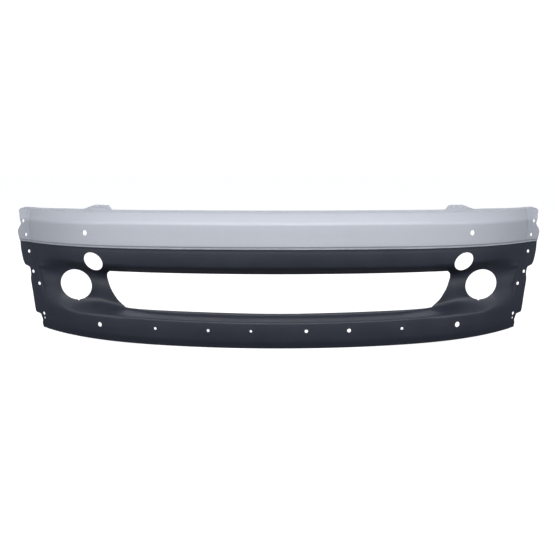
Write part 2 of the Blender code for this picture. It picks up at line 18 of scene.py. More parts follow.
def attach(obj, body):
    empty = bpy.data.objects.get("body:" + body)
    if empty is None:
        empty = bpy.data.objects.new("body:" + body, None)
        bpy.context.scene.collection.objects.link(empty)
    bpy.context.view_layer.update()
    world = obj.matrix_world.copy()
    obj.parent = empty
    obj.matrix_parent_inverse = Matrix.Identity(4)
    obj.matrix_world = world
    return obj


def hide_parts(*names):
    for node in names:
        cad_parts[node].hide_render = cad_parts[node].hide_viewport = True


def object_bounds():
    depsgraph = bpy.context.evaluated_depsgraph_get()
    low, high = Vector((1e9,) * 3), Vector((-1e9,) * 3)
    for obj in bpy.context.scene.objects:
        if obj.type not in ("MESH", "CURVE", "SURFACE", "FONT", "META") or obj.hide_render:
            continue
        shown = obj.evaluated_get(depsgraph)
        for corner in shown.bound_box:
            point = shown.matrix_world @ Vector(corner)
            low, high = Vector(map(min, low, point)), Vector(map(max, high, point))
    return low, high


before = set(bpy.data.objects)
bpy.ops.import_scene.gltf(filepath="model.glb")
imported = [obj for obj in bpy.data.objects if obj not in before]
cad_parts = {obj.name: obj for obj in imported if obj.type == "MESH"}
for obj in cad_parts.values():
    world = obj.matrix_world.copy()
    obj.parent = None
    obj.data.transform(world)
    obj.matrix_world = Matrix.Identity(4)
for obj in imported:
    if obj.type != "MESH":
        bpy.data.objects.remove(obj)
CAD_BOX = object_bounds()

LOG = logging.getLogger("bumper_cover")
BODY = "root"

# Depth and height, x and z, or the low and high end of a range.
Pair = tuple[float, float]
Rows = list[list[Vector]]


class Side(Enum):
    """The two ends of the cover, seen from the front, with the sign of their x."""

    LEFT = -1
    RIGHT = 1

    @property
    def word(self) -> str:
        """The side's name in piece names."""
        return self.name.lower()


class Slot(Enum):
    """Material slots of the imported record."""

    SILVER = "silver_paint"
    CHARCOAL = "charcoal_moulding"
    RAIL = "rail_steel"
    ZINC = "fastener_zinc"
    RIVET = "rivet_aluminium"


# ---------------------------------------------------------------- numbers and lines


def smooth_step(value: float, low: float, high: float) -> float:
    """0 below low, 1 above high, and a smooth S between them."""
    t = min(1.0, max(0.0, (value - low) / (high - low)))
    return t * t * (3.0 - 2.0 * t)


def soft_min(a: float, b: float, width: float) -> float:
    """The smaller of a and b, with the corner between them rounded over width."""
    h = max(0.0, width - abs(a - b)) / width
    return min(a, b) - h * h * width * 0.25


def spaced(start: float, end: float, step: float) -> list[float]:
    """Evenly spaced values from start up to, but without, end.

    Args:
        start: First value.
        end: Value that the last step reaches.
        step: Spacing that the real one comes close to.

    Returns:
        The values, first one included.
    """
    count = max(1, round(abs(end - start) / step))
    return [start + (end - start) * i / count for i in range(count)]


def stretches(steps: Sequence[Pair], end: float) -> list[float]:
    """Values from the first start to end, with a spacing of their own on each stretch.

    Args:
        steps: Start and spacing of each stretch.
        end: Last value.

    Returns:
        The values, end included.
    """
    stops = [start for start, _step in steps[1:]] + [end]
    values = []
    for (start, step), stop in zip(steps, stops):
        values += spaced(start, stop, step)
    return values + [end]


def filleted(corners: Sequence[tuple[float, float, float]], steps: int) -> list[Pair]:
    """A line through corners, each rounded by an arc.

    Args:
        corners: Depth, height and radius of each corner; radius 0 leaves it sharp.
        steps: Number of chords in each arc.

    Returns:
        Depth and height pairs, the same number for the same corners.
    """
    line = []
    spots = [complex(depth, z) for depth, z, _radius in corners]
    for i, (depth, z, radius) in enumerate(corners):
        if radius == 0.0:
            line.append((depth, z))
            continue
        here = spots[i]
        back = spots[i - 1] - here
        ahead = spots[i + 1] - here
        half = abs(phase(ahead / back)) / 2.0
        reach = min(radius / math.tan(half), 0.48 * abs(back), 0.48 * abs(ahead))
        start = here + back / abs(back) * reach
        end = here + ahead / abs(ahead) * reach
        bisector = back / abs(back) + ahead / abs(ahead)
        centre = here + bisector / abs(bisector) * reach / math.cos(half)
        turn = phase((end - centre) / (start - centre))
        for step in range(steps + 1):
            spot = centre + (start - centre) * exp(1j * turn * step / steps)
            line.append((spot.real, spot.imag))
    return line


def splined(points: Sequence[Pair], steps: int, closed: bool = False) -> list[Pair]:
    """A smooth curve through points.

    Args:
        points: The points to pass through.
        steps: Number of chords between neighbours.
        closed: Whether the last point leads back to the first.

    Returns:
        The points with the curve's own points between them.
    """
    count = len(points)
    curve = []
    for i in range(count if closed else count - 1):
        picks = [i - 1, i, i + 1, i + 2]
        if closed:
            picks = [k % count for k in picks]
        else:
            picks = [min(count - 1, max(0, k)) for k in picks]
        a, b, c, d = (Vector(points[k]) for k in picks)
        for step in range(steps):
            t = step / steps
            near = b * 2.0 + (c - a) * t
            far = (a * 2.0 - b * 5.0 + c * 4.0 - d) * t * t + (b * 3.0 - a - c * 3.0 + d) * t ** 3
            curve.append(tuple((near + far) * 0.5))
    if not closed:
        curve.append(tuple(points[-1]))
    return curve


# ---------------------------------------------------------------- modelling steps

UP = Vector((0.0, 0.0, 1.0))
# Edges that turn by more than this are rounded.
SHARP = math.radians(60.0)
# Points closer than this are one point.
DOUBLES = 0.00002


def deselect_all() -> None:
    """Leave edit mode and deselect every object."""
    if bpy.context.object and bpy.context.object.mode != "OBJECT":
        bpy.ops.object.mode_set(mode="OBJECT")
    bpy.ops.object.select_all(action="DESELECT")


def pick(thing: bpy.types.Object) -> None:
    """Make an object the only selected and the active one."""
    deselect_all()
    thing.select_set(True)
    bpy.context.view_layer.objects.active = thing


def added(name: str) -> bpy.types.Object:
    """Name the object that an add operator has just made.

    Args:
        name: Name for the object and its mesh.

    Returns:
        The object.
    """
    thing = bpy.context.active_object
    thing.name = name
    thing.data.name = name
    return thing


def select(thing: bpy.types.Object, kind: str, wanted: Callable[[Any], bool]) -> None:
    """Enter edit mode with only some vertices, edges or faces selected.

    Args:
        thing: The object.
        kind: "VERT", "EDGE" or "FACE".
        wanted: Says of an element whether it is selected.
    """
    pick(thing)
    bpy.ops.object.mode_set(mode="EDIT")
    bpy.ops.mesh.select_mode(type=kind)
    bpy.ops.mesh.select_all(action="DESELECT")
    bpy.ops.object.mode_set(mode="OBJECT")
    mesh = thing.data
    for element in {"VERT": mesh.vertices, "EDGE": mesh.edges, "FACE": mesh.polygons}[kind]:
        element.select = wanted(element)
    bpy.ops.object.mode_set(mode="EDIT")


def facing(up: bool) -> Callable[[Any], bool]:
    """Says of a face whether it looks up, or down."""
    return lambda face: face.normal.z * (1.0 if up else -1.0) > 0.9


def turned(*steps: Pair) -> None:
    """Extrude the selected face along Z, step by step.

    Args:
        steps: Rise of each step, and the size of its new outline against the last one.
    """
    for rise, size in steps:
        bpy.ops.mesh.extrude_region_move(TRANSFORM_OT_translate={"value": (0.0, 0.0, rise)})
        bpy.ops.transform.resize(value=(size, size, 1.0))


def disc(name: str, radius: float, low: float, high: float, sides: int) -> bpy.types.Object:
    """A round disc on the Z axis between two heights.

    Args:
        name: Name of the disc.
        radius: Its radius.
        low: Height of its lower face.
        high: Height of its upper face.
        sides: Number of sides.

    Returns:
        The disc, ready to be extruded.
    """
    deselect_all()
    bpy.ops.mesh.primitive_cylinder_add(
        vertices=sides, radius=radius, depth=high - low, location=(0.0, 0.0, (low + high) / 2.0))
    thing = added(name)
    pick(thing)
    bpy.ops.object.transform_apply(location=True, rotation=True, scale=True)
    return thing


def modify(thing: bpy.types.Object, kind: str, **settings: Any) -> None:
    """Add a modifier with its settings and apply it."""
    pick(thing)
    modifier = thing.modifiers.new(kind.lower(), kind)
    for key, value in settings.items():
        setattr(modifier, key, value)
    bpy.ops.object.modifier_apply(modifier=modifier.name)


def round_edges(thing: bpy.types.Object, width: float, segments: int = 2) -> None:
    """Round every sharp edge of a piece."""
    modify(thing, "BEVEL", width=width, segments=segments, limit_method="ANGLE",
           angle_limit=SHARP)


def thicken(sheet: bpy.types.Object, wall: float, radius: float) -> None:
    """Give a sheet its wall on the inner side and round the edges of the shell."""
    modify(sheet, "SOLIDIFY", thickness=wall, offset=-1.0, use_even_offset=True,
           thickness_clamp=0.0)
    round_edges(sheet, radius, 3)


def laid_sheet(name: str, rows: Rows) -> bpy.types.Object:
    """A grid whose points are laid on rows of points.

    Args:
        name: Name of the sheet.
        rows: Rows of points, all of one length.

    Returns:
        The sheet, a single layer of quads.
    """
    deselect_all()
    bpy.ops.mesh.primitive_grid_add(
        x_subdivisions=len(rows[0]) - 1, y_subdivisions=len(rows) - 1, size=1.0)
    sheet = added(name)
    flat = [value for row in rows for point in row for value in point]
    sheet.data.vertices.foreach_set("co", flat)
    sheet.data.update()
    return sheet


def prism(name: str, outline: Sequence[Pair], start: float, length: float) -> bpy.types.Object:
    """A closed cutter with an outline in x and z, extruded along y.

    Args:
        name: Name of the cutter.
        outline: Corners in x and z.
        start: y of its first cap.
        length: Extent along y.

    Returns:
        The cutter.
    """
    deselect_all()
    bpy.ops.mesh.primitive_circle_add(vertices=len(outline), fill_type="NGON")
    cutter = added(name)
    for vertex, (x, z) in zip(cutter.data.vertices, outline):
        vertex.co = (x, start, z)
    select(cutter, "FACE", lambda _face: True)
    bpy.ops.mesh.extrude_region_move(TRANSFORM_OT_translate={"value": (0.0, length, 0.0)})
    bpy.ops.mesh.select_all(action="SELECT")
    bpy.ops.mesh.normals_make_consistent(inside=False)
    deselect_all()
    return cutter


def rod(centre: Vector, direction: Vector, width: float, height: float, length: float,
        sides: int = 40, tilt: float = 0.0) -> bpy.types.Object:
    """A round or oval cutter along a direction.

    Args:
        centre: Its middle.
        direction: Where its axis points.
        width: Level diameter.
        height: The other diameter.
        length: Extent along the axis.
        sides: Number of sides.
        tilt: Turn of the oval about its axis.

    Returns:
        The cutter.
    """
    deselect_all()
    bpy.ops.mesh.primitive_cylinder_add(vertices=sides, radius=0.5, depth=length)
    cutter = added("rod")
    axis = direction.normalized()
    level = axis.cross(UP)
    level = level.normalized() if level.length > 0.01 else Vector((1.0, 0.0, 0.0))
    other = axis.cross(level)
    turn = Matrix((level, other, axis)).transposed().to_4x4()
    size = Matrix.Diagonal((width, height, 1.0, 1.0))
    spin = Matrix.Rotation(tilt, 4, "Z")
    cutter.data.transform(Matrix.Translation(centre) @ turn @ spin @ size)
    return cutter


def cut(thing: bpy.types.Object, cutters: Iterable[bpy.types.Object]) -> None:
    """Subtract cutters that don't touch each other, all at once, and remove them."""
    tools = list(cutters)
    pick(tools[0])
    for tool in tools[1:]:
        tool.select_set(True)
    if len(tools) > 1:
        bpy.ops.object.join()
    tool = bpy.context.active_object
    modify(thing, "BOOLEAN", operation="DIFFERENCE", solver="EXACT", object=tool)
    bpy.data.objects.remove(tool, do_unlink=True)


def tidy(thing: bpy.types.Object, angle: float) -> None:
    """Merge doubles, drop slivers and shade smooth up to an angle in degrees."""
    pick(thing)
    bpy.ops.object.mode_set(mode="EDIT")
    bpy.ops.mesh.select_all(action="SELECT")
    bpy.ops.mesh.remove_doubles(threshold=DOUBLES)
    bpy.ops.mesh.dissolve_degenerate(threshold=DOUBLES)
    deselect_all()
    pick(thing)
    bpy.ops.object.shade_smooth_by_angle(angle=math.radians(angle))
    deselect_all()


def twin(thing: bpy.types.Object, name: str, shift: Vector) -> bpy.types.Object:
    """A copy with its own mesh, moved by shift.

    Args:
        thing: The modelled piece.
        name: Name of the copy.
        shift: How far its mesh is moved.

    Returns:
        The copy.
    """
    copy = thing.copy()
    copy.data = thing.data.copy()
    copy.data.transform(Matrix.Translation(shift))
    copy.name = name
    copy.data.name = name
    bpy.context.collection.objects.link(copy)
    return copy


def fit(piece: bpy.types.Object, node: str, finish: bpy.types.Material) -> None:
    """Dress a piece, let it stand for its CAD node and report it.

    Args:
        piece: The finished piece.
        node: CAD node that it replaces.
        finish: Its material.
    """
    piece.data.materials.clear()
    piece.data.materials.append(finish)
    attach(piece, BODY)
    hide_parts(node)
    LOG.info("%s stands for %s, %d faces", piece.name, node, len(piece.data.polygons))


# ---------------------------------------------------------------- finishes

# Noise levels at which a drift of tone or roughness reaches its two ends.
TONE_STOPS = (0.30, 0.70)


def linear(colour: str) -> tuple[float, float, float, float]:
    """Turn an sRGB hex colour to linear red, green, blue and alpha."""
    parts = [int(colour[i:i + 2], 16) / 255.0 for i in (1, 3, 5)]
    bright = [p / 12.92 if p <= 0.04045 else ((p + 0.055) / 1.055) ** 2.4 for p in parts]
    return (*bright, 1.0)


def add_node(tree: bpy.types.NodeTree, kind: str, settings: Optional[dict] = None,
             links: Optional[dict] = None) -> bpy.types.Node:
    """Add a node with its settings and links.

    Args:
        tree: The node tree.
        kind: Type of the node.
        settings: Values by socket name or number, or by the node's own setting.
        links: Source sockets by the socket that they lead to.

    Returns:
        The node.
    """
    node = tree.nodes.new(kind)
    for key, value in (settings or {}).items():
        if isinstance(key, str) and hasattr(node, key):
            setattr(node, key, value)
        else:
            node.inputs[key].default_value = value
    for key, source in (links or {}).items():
        tree.links.new(source, node.inputs[key])
    return node


def ramp(tree: bpy.types.NodeTree, source: bpy.types.NodeSocket,
         stops: Sequence[tuple[float, tuple]]) -> bpy.types.NodeSocket:
    """A colour ramp through stops of place and colour, fed by source."""
    node = add_node(tree, "ShaderNodeValToRGB", links={0: source})
    band = node.color_ramp
    while len(band.elements) < len(stops):
        band.elements.new(0.5)
    for element, (place, colour) in zip(band.elements, stops):
        element.position = place
        element.color = colour
    return node.outputs["Color"]


def grey(level: float) -> tuple[float, float, float, float]:
    """A neutral colour of that linear level."""
    return (level, level, level, 1.0)


@dataclass(frozen=True)
class Finish:
    """A surface with a fine relief and a slow drift of tone over one base colour."""

    name: str
    colour: str
    roughness: float
    metallic: float = 0.0
    grain_mm: float = 1.5
    grain_height_mm: float = 0.02
    grain_strength: float = 0.2
    tone_mm: float = 90.0
    tone_share: float = 0.06
    roughness_drift: float = 0.05
    sockets: dict = field(default_factory=dict)

    def make(self) -> bpy.types.Material:
        """Build the material.

        Returns:
            The material, its patterns in object coordinates.
        """
        material = bpy.data.materials.new(self.name)
        material.use_nodes = True
        tree = material.node_tree
        shader = tree.nodes["Principled BSDF"]
        shader.inputs["Metallic"].default_value = self.metallic
        for socket, value in self.sockets.items():
            shader.inputs[socket].default_value = value
        place = add_node(tree, "ShaderNodeTexCoord").outputs["Object"]
        drift = self.noise(tree, place, self.tone_mm, 3.0)
        self.paint(tree, shader, place, drift)
        rough = add_node(
            tree, "ShaderNodeMapRange",
            {"To Min": self.roughness - self.roughness_drift,
             "To Max": self.roughness + self.roughness_drift,
             "From Min": TONE_STOPS[0], "From Max": TONE_STOPS[1]},
            {"Value": drift})
        tree.links.new(rough.outputs["Result"], shader.inputs["Roughness"])
        relief = self.relief(tree, place)
        bump = add_node(
            tree, "ShaderNodeBump",
            {"Strength": self.grain_strength, "Distance": self.grain_height_mm / 1000.0},
            {"Height": relief})
        tree.links.new(bump.outputs["Normal"], shader.inputs["Normal"])
        return material

    def noise(self, tree: bpy.types.NodeTree, place: bpy.types.NodeSocket, size_mm: float,
              detail: float) -> bpy.types.NodeSocket:
        """Smooth noise with features of that size in millimetres."""
        node = add_node(
            tree, "ShaderNodeTexNoise", {"Scale": 1000.0 / size_mm, "Detail": detail},
            {"Vector": place})
        return node.outputs["Fac"]

    def paint(self, tree: bpy.types.NodeTree, shader: bpy.types.Node,
              place: bpy.types.NodeSocket, drift: bpy.types.NodeSocket) -> None:
        """Lead the base colour, a little darker and lighter with the drift, to the shader."""
        base = linear(self.colour)
        stops = []
        for spot, share in zip(TONE_STOPS, (1.0 - self.tone_share, 1.0 + self.tone_share)):
            stops.append((spot, (*(min(1.0, c * share) for c in base[:3]), 1.0)))
        tree.links.new(ramp(tree, drift, stops), shader.inputs["Base Color"])

    def relief(self, tree: bpy.types.NodeTree,
               place: bpy.types.NodeSocket) -> bpy.types.NodeSocket:
        """Height pattern of the surface."""
        return self.noise(tree, place, self.grain_mm, 2.0)


@dataclass(frozen=True)
class FlakePaint(Finish):
    """Base coat with aluminium flakes under a satin clear coat."""

    flake_mm: float = 1.1
    flake_share: float = 0.05

    def paint(self, tree: bpy.types.NodeTree, shader: bpy.types.Node,
              place: bpy.types.NodeSocket, drift: bpy.types.NodeSocket) -> None:
        """Lead the base colour, speckled by its flakes, to the shader."""
        base = linear(self.colour)
        cells = add_node(
            tree, "ShaderNodeTexVoronoi", {"Scale": 1000.0 / self.flake_mm}, {"Vector": place})
        tone = add_node(
            tree, "ShaderNodeMix", {"data_type": "FLOAT", 0: 0.35},
            {2: cells.outputs["Color"], 3: drift})
        stops = []
        for spot, share in ((0.2, 1.0 - self.flake_share), (0.8, 1.0 + self.flake_share)):
            stops.append((spot, (*(min(1.0, c * share) for c in base[:3]), 1.0)))
        tree.links.new(ramp(tree, tone.outputs[0], stops), shader.inputs["Base Color"])


# Silver automotive base coat, sprayed and baked on moulded ABS: even, satin, faintly cool. The
# flakes are about 0.03 mm and are drawn 1.1 mm wide so that they show; the peel is 3 mm.
SILVER_PAINT = FlakePaint(
    name="silver_base_coat_sprayed_on_abs", colour="#ACAFB6", roughness=0.62, metallic=0.42,
    grain_mm=3.0, grain_height_mm=0.01, grain_strength=0.25, roughness_drift=0.02,
    sockets={"Specular IOR Level": 0.5})
# Polypropylene blend coloured in the mass, moulded against an eroded tool: a dull, cool charcoal
# with a fine grain. The grain is about 0.3 mm and is drawn 1.2 mm wide.
CHARCOAL_PLASTIC = Finish(
    name="charcoal_polypropylene_eroded_mould", colour="#20242E", roughness=0.50,
    grain_mm=1.2, grain_height_mm=0.05, grain_strength=0.35, tone_share=0.05)
# Mild steel strip under a cathodic dip coat: even black with a slight sheen at its edges.
DIP_COATED_STEEL = Finish(
    name="mild_steel_black_dip_coat", colour="#17181A", roughness=0.38, grain_mm=4.0,
    grain_height_mm=0.02, grain_strength=0.3, tone_mm=40.0)
# Steel, barrel zinc plated and clear passivated: pale grey metal with a faint patchy bloom.
ZINC_PLATE = Finish(
    name="steel_clear_zinc_plate", colour="#B4B8B9", roughness=0.34, metallic=1.0,
    grain_mm=0.8, grain_height_mm=0.01, tone_mm=5.0, tone_share=0.12, roughness_drift=0.08)
# Aluminium alloy, cold headed and left bare: bright, slightly streaked by the heading tool.
BARE_ALUMINIUM = Finish(
    name="aluminium_cold_headed", colour="#C9CBCC", roughness=0.30, metallic=1.0,
    grain_mm=0.6, grain_height_mm=0.01, tone_mm=3.0, tone_share=0.08)


# ---------------------------------------------------------------- shared shape


@dataclass(frozen=True)
class Plan:
    """Plan of the cover: a long bow that wraps back at its corners, then straight flanges.

    The end flange starts at a crease that leans outwards with height. It steps back twice, which
    is the joggle that the corner cover laps over, and runs straight on with its own slope.
    """

    front_y: float = CAD_BOX[0].y
    bow_radius: float = 3.3
    corner_start: float = 0.40
    corner_gain: float = 0.79
    crease_xs: Pair = (0.895, 0.960)
    crease_zs: Pair = (0.15, 0.36)
    crease_lean: float = 1.5
    joggle: Pair = (0.0034, 0.0016)
    joggle_run: float = 0.0160
    joggle_step: float = 0.0032
    end_slope: float = 0.727
    end_reach: float = 0.078
    end_spacings: Pair = (0.0011, 0.010)

    def bow(self, x: float) -> float:
        """Rearward offset of the foremost skin at x."""
        s = abs(x)
        return s * s / (2.0 * self.bow_radius) + self.corner_gain * max(
            0.0, s - self.corner_start) ** 3

    def crease(self, z: float) -> float:
        """Half-width where the end flange starts at height z."""
        low, high = self.crease_zs
        t = min(1.0, max(0.0, (z - low) / (high - low)))
        return self.crease_xs[0] + (self.crease_xs[1] - self.crease_xs[0]) * t ** self.crease_lean

    def skin(self, x: float, z: float) -> float:
        """Rearward offset of the skin at x and z: the bow, then the straight end flange."""
        s = abs(x)
        crease = self.crease(z)
        if s <= crease:
            return self.bow(s)
        first = smooth_step(s, crease, crease + self.joggle_step)
        second = smooth_step(s, crease + self.joggle_run - self.joggle_step,
                             crease + self.joggle_run)
        step = self.joggle[0] * first + self.joggle[1] * second
        return self.bow(crease) + step + (s - crease) * self.end_slope

    def place(self, x: float, depth: float, z: float) -> Vector:
        """World point at x, depth behind the skin and height z."""
        return Vector((x, self.front_y + self.skin(x, z) + depth, z))

    def outward(self, x: float, z: float) -> Vector:
        """Direction of the skin's level normal at x and z."""
        step = 0.002
        run = self.skin(abs(x) + step, z) - self.skin(abs(x) - step, z)
        return Vector((math.copysign(run / (2 * step), x), -1.0, 0.0)).normalized()

    def across(self, shares: Sequence[float], z: float) -> list[float]:
        """All x values of a row at height z, left to right.

        Args:
            shares: Half-widths up to the crease, as parts of it.
            z: Height that sets the crease.

        Returns:
            The x values, end flanges included.
        """
        crease = self.crease(z)
        half = [share * crease for share in shares]
        fine, coarse = self.end_spacings
        half += stretches(((crease, fine), (crease + self.joggle_run, coarse)),
                          crease + self.end_reach)[1:]
        return [-x for x in reversed(half[1:])] + half


@dataclass(frozen=True)
class Joint:
    """The bolted joint between the two mouldings."""

    seam_z: float = 0.3605
    bead_depth: float = 0.0040
    flange_depth: float = 0.0340
    flange_end: float = 0.930
    wall: float = 0.0032
    gap: float = 0.0003
    screw_xs: tuple = (0.10, 0.30, 0.50, 0.70, 0.86)
    screw_depth: float = 0.0205
    clearance: float = 0.0072
    edge_radius: float = 0.0009
    flange_rows: Pair = (0.014, 0.024)
    block_gap: float = 0.0045
    block_height: float = 0.012

    def screws(self, plan: Plan) -> list[Vector]:
        """Places of the joint screws on the seam, left to right."""
        xs = [-x for x in reversed(self.screw_xs)] + list(self.screw_xs)
        return [Vector((x, plan.front_y + plan.bow(x) + self.screw_depth, self.seam_z))
                for x in xs]

    def drills(self, plan: Plan) -> list[bpy.types.Object]:
        """Cutters for the screw holes of one flange or rail."""
        return [rod(spot, UP, self.clearance, self.clearance, 0.020, 24)
                for spot in self.screws(plan)]

    def end_blocks(self, plan: Plan) -> list[bpy.types.Object]:
        """Cutters that stop a joint flange short of the end flanges.

        Args:
            plan: Plan of the cover.

        Returns:
            One block for each end.
        """
        blocks = []
        front = self.bead_depth + self.wall + self.block_gap
        rear = self.flange_depth + 0.020
        reach = plan.crease_xs[1] + plan.end_reach
        up = UP * (self.block_height / 2.0)
        corners = ((front, -up), (front, up), (rear, up), (rear, -up), (front, -up))
        for side in Side:
            xs = [side.value * x for x in stretches(((self.flange_end, 0.027),), reach)]
            rows = [[plan.place(x, depth, self.seam_z) + lift for x in xs]
                    for depth, lift in corners]
            block = laid_sheet("flange_end_block", rows)
            pick(block)
            bpy.ops.object.mode_set(mode="EDIT")
            bpy.ops.mesh.select_all(action="SELECT")
            bpy.ops.mesh.remove_doubles(threshold=DOUBLES)
            bpy.ops.mesh.select_mode(type="EDGE")
            bpy.ops.mesh.select_all(action="DESELECT")
            bpy.ops.mesh.select_non_manifold()
            bpy.ops.mesh.fill_holes(sides=8)
            bpy.ops.mesh.select_all(action="SELECT")
            bpy.ops.mesh.fill_holes(sides=8)
            bpy.ops.mesh.normals_make_consistent(inside=False)
            deselect_all()
            blocks.append(block)
        return blocks


@dataclass(frozen=True)
class EndFlanges:
    """Wavy outline in x and z, and bolt slots, of the flanges at both ends."""

    slot_width: float = 0.0175
    slot_height: float = 0.0130
    upper_slots: tuple = ((0.9940, 0.4409), (0.9822, 0.3882))
    lower_slots: tuple = (
        (0.9718, 0.3239), (0.9525, 0.2476), (0.9245, 0.2038), (0.9085, 0.0893))
    screw_hole: tuple = (0.9072, 0.0716, 0.0095)
    outline: tuple = (
        (0.9950, 0.5150), (1.0034, 0.4935), (1.0146, 0.4872), (1.0207, 0.4812),
        (1.0220, 0.4776), (1.0188, 0.4699), (1.0085, 0.4430), (1.0045, 0.4314),
        (1.0078, 0.4235), (1.0170, 0.4112), (1.0213, 0.4031), (1.0221, 0.3991),
        (1.0213, 0.3913), (1.0163, 0.3681), (1.0138, 0.3527), (1.0100, 0.3259),
        (1.0022, 0.2956), (0.9982, 0.2844), (0.9905, 0.2717), (0.9775, 0.2672),
        (0.9700, 0.2640), (0.9655, 0.2585), (0.9620, 0.2376), (0.9640, 0.2158),
        (0.9562, 0.1676), (0.9476, 0.1056), (0.9450, 0.0941), (0.9410, 0.0895),
        (0.9225, 0.0855), (0.9198, 0.0800), (0.9148, 0.0650), (0.9158, 0.0550),
        (0.9182, 0.0427), (0.9160, -0.0200))

    def trim(self, plan: Plan) -> list[bpy.types.Object]:
        """Cutters outside the wavy outline of both ends.

        Args:
            plan: Plan of the cover.

        Returns:
            One prism for each end.
        """
        limit = CAD_BOX[1].x
        curve = [(min(x, limit), z) for x, z in splined(self.outline, 3)]
        prisms = []
        for side in Side:
            edge = [(side.value * x, z) for x, z in curve]
            edge += [(side.value * 1.2, -0.02), (side.value * 1.2, 0.515)]
            prisms.append(prism("end_prism", edge, plan.front_y, 0.6))
        return prisms

    def slots(self, plan: Plan, places: Sequence[Pair],
              depth: float) -> list[bpy.types.Object]:
        """Cutters for the bolt slots at both ends, through a skin at that depth."""
        return [rod(plan.place(side.value * x, depth, z), plan.outward(side.value * x, z),
                    self.slot_width, self.slot_height, 0.030)
                for side in Side for x, z in places]


# ---------------------------------------------------------------- the two covers


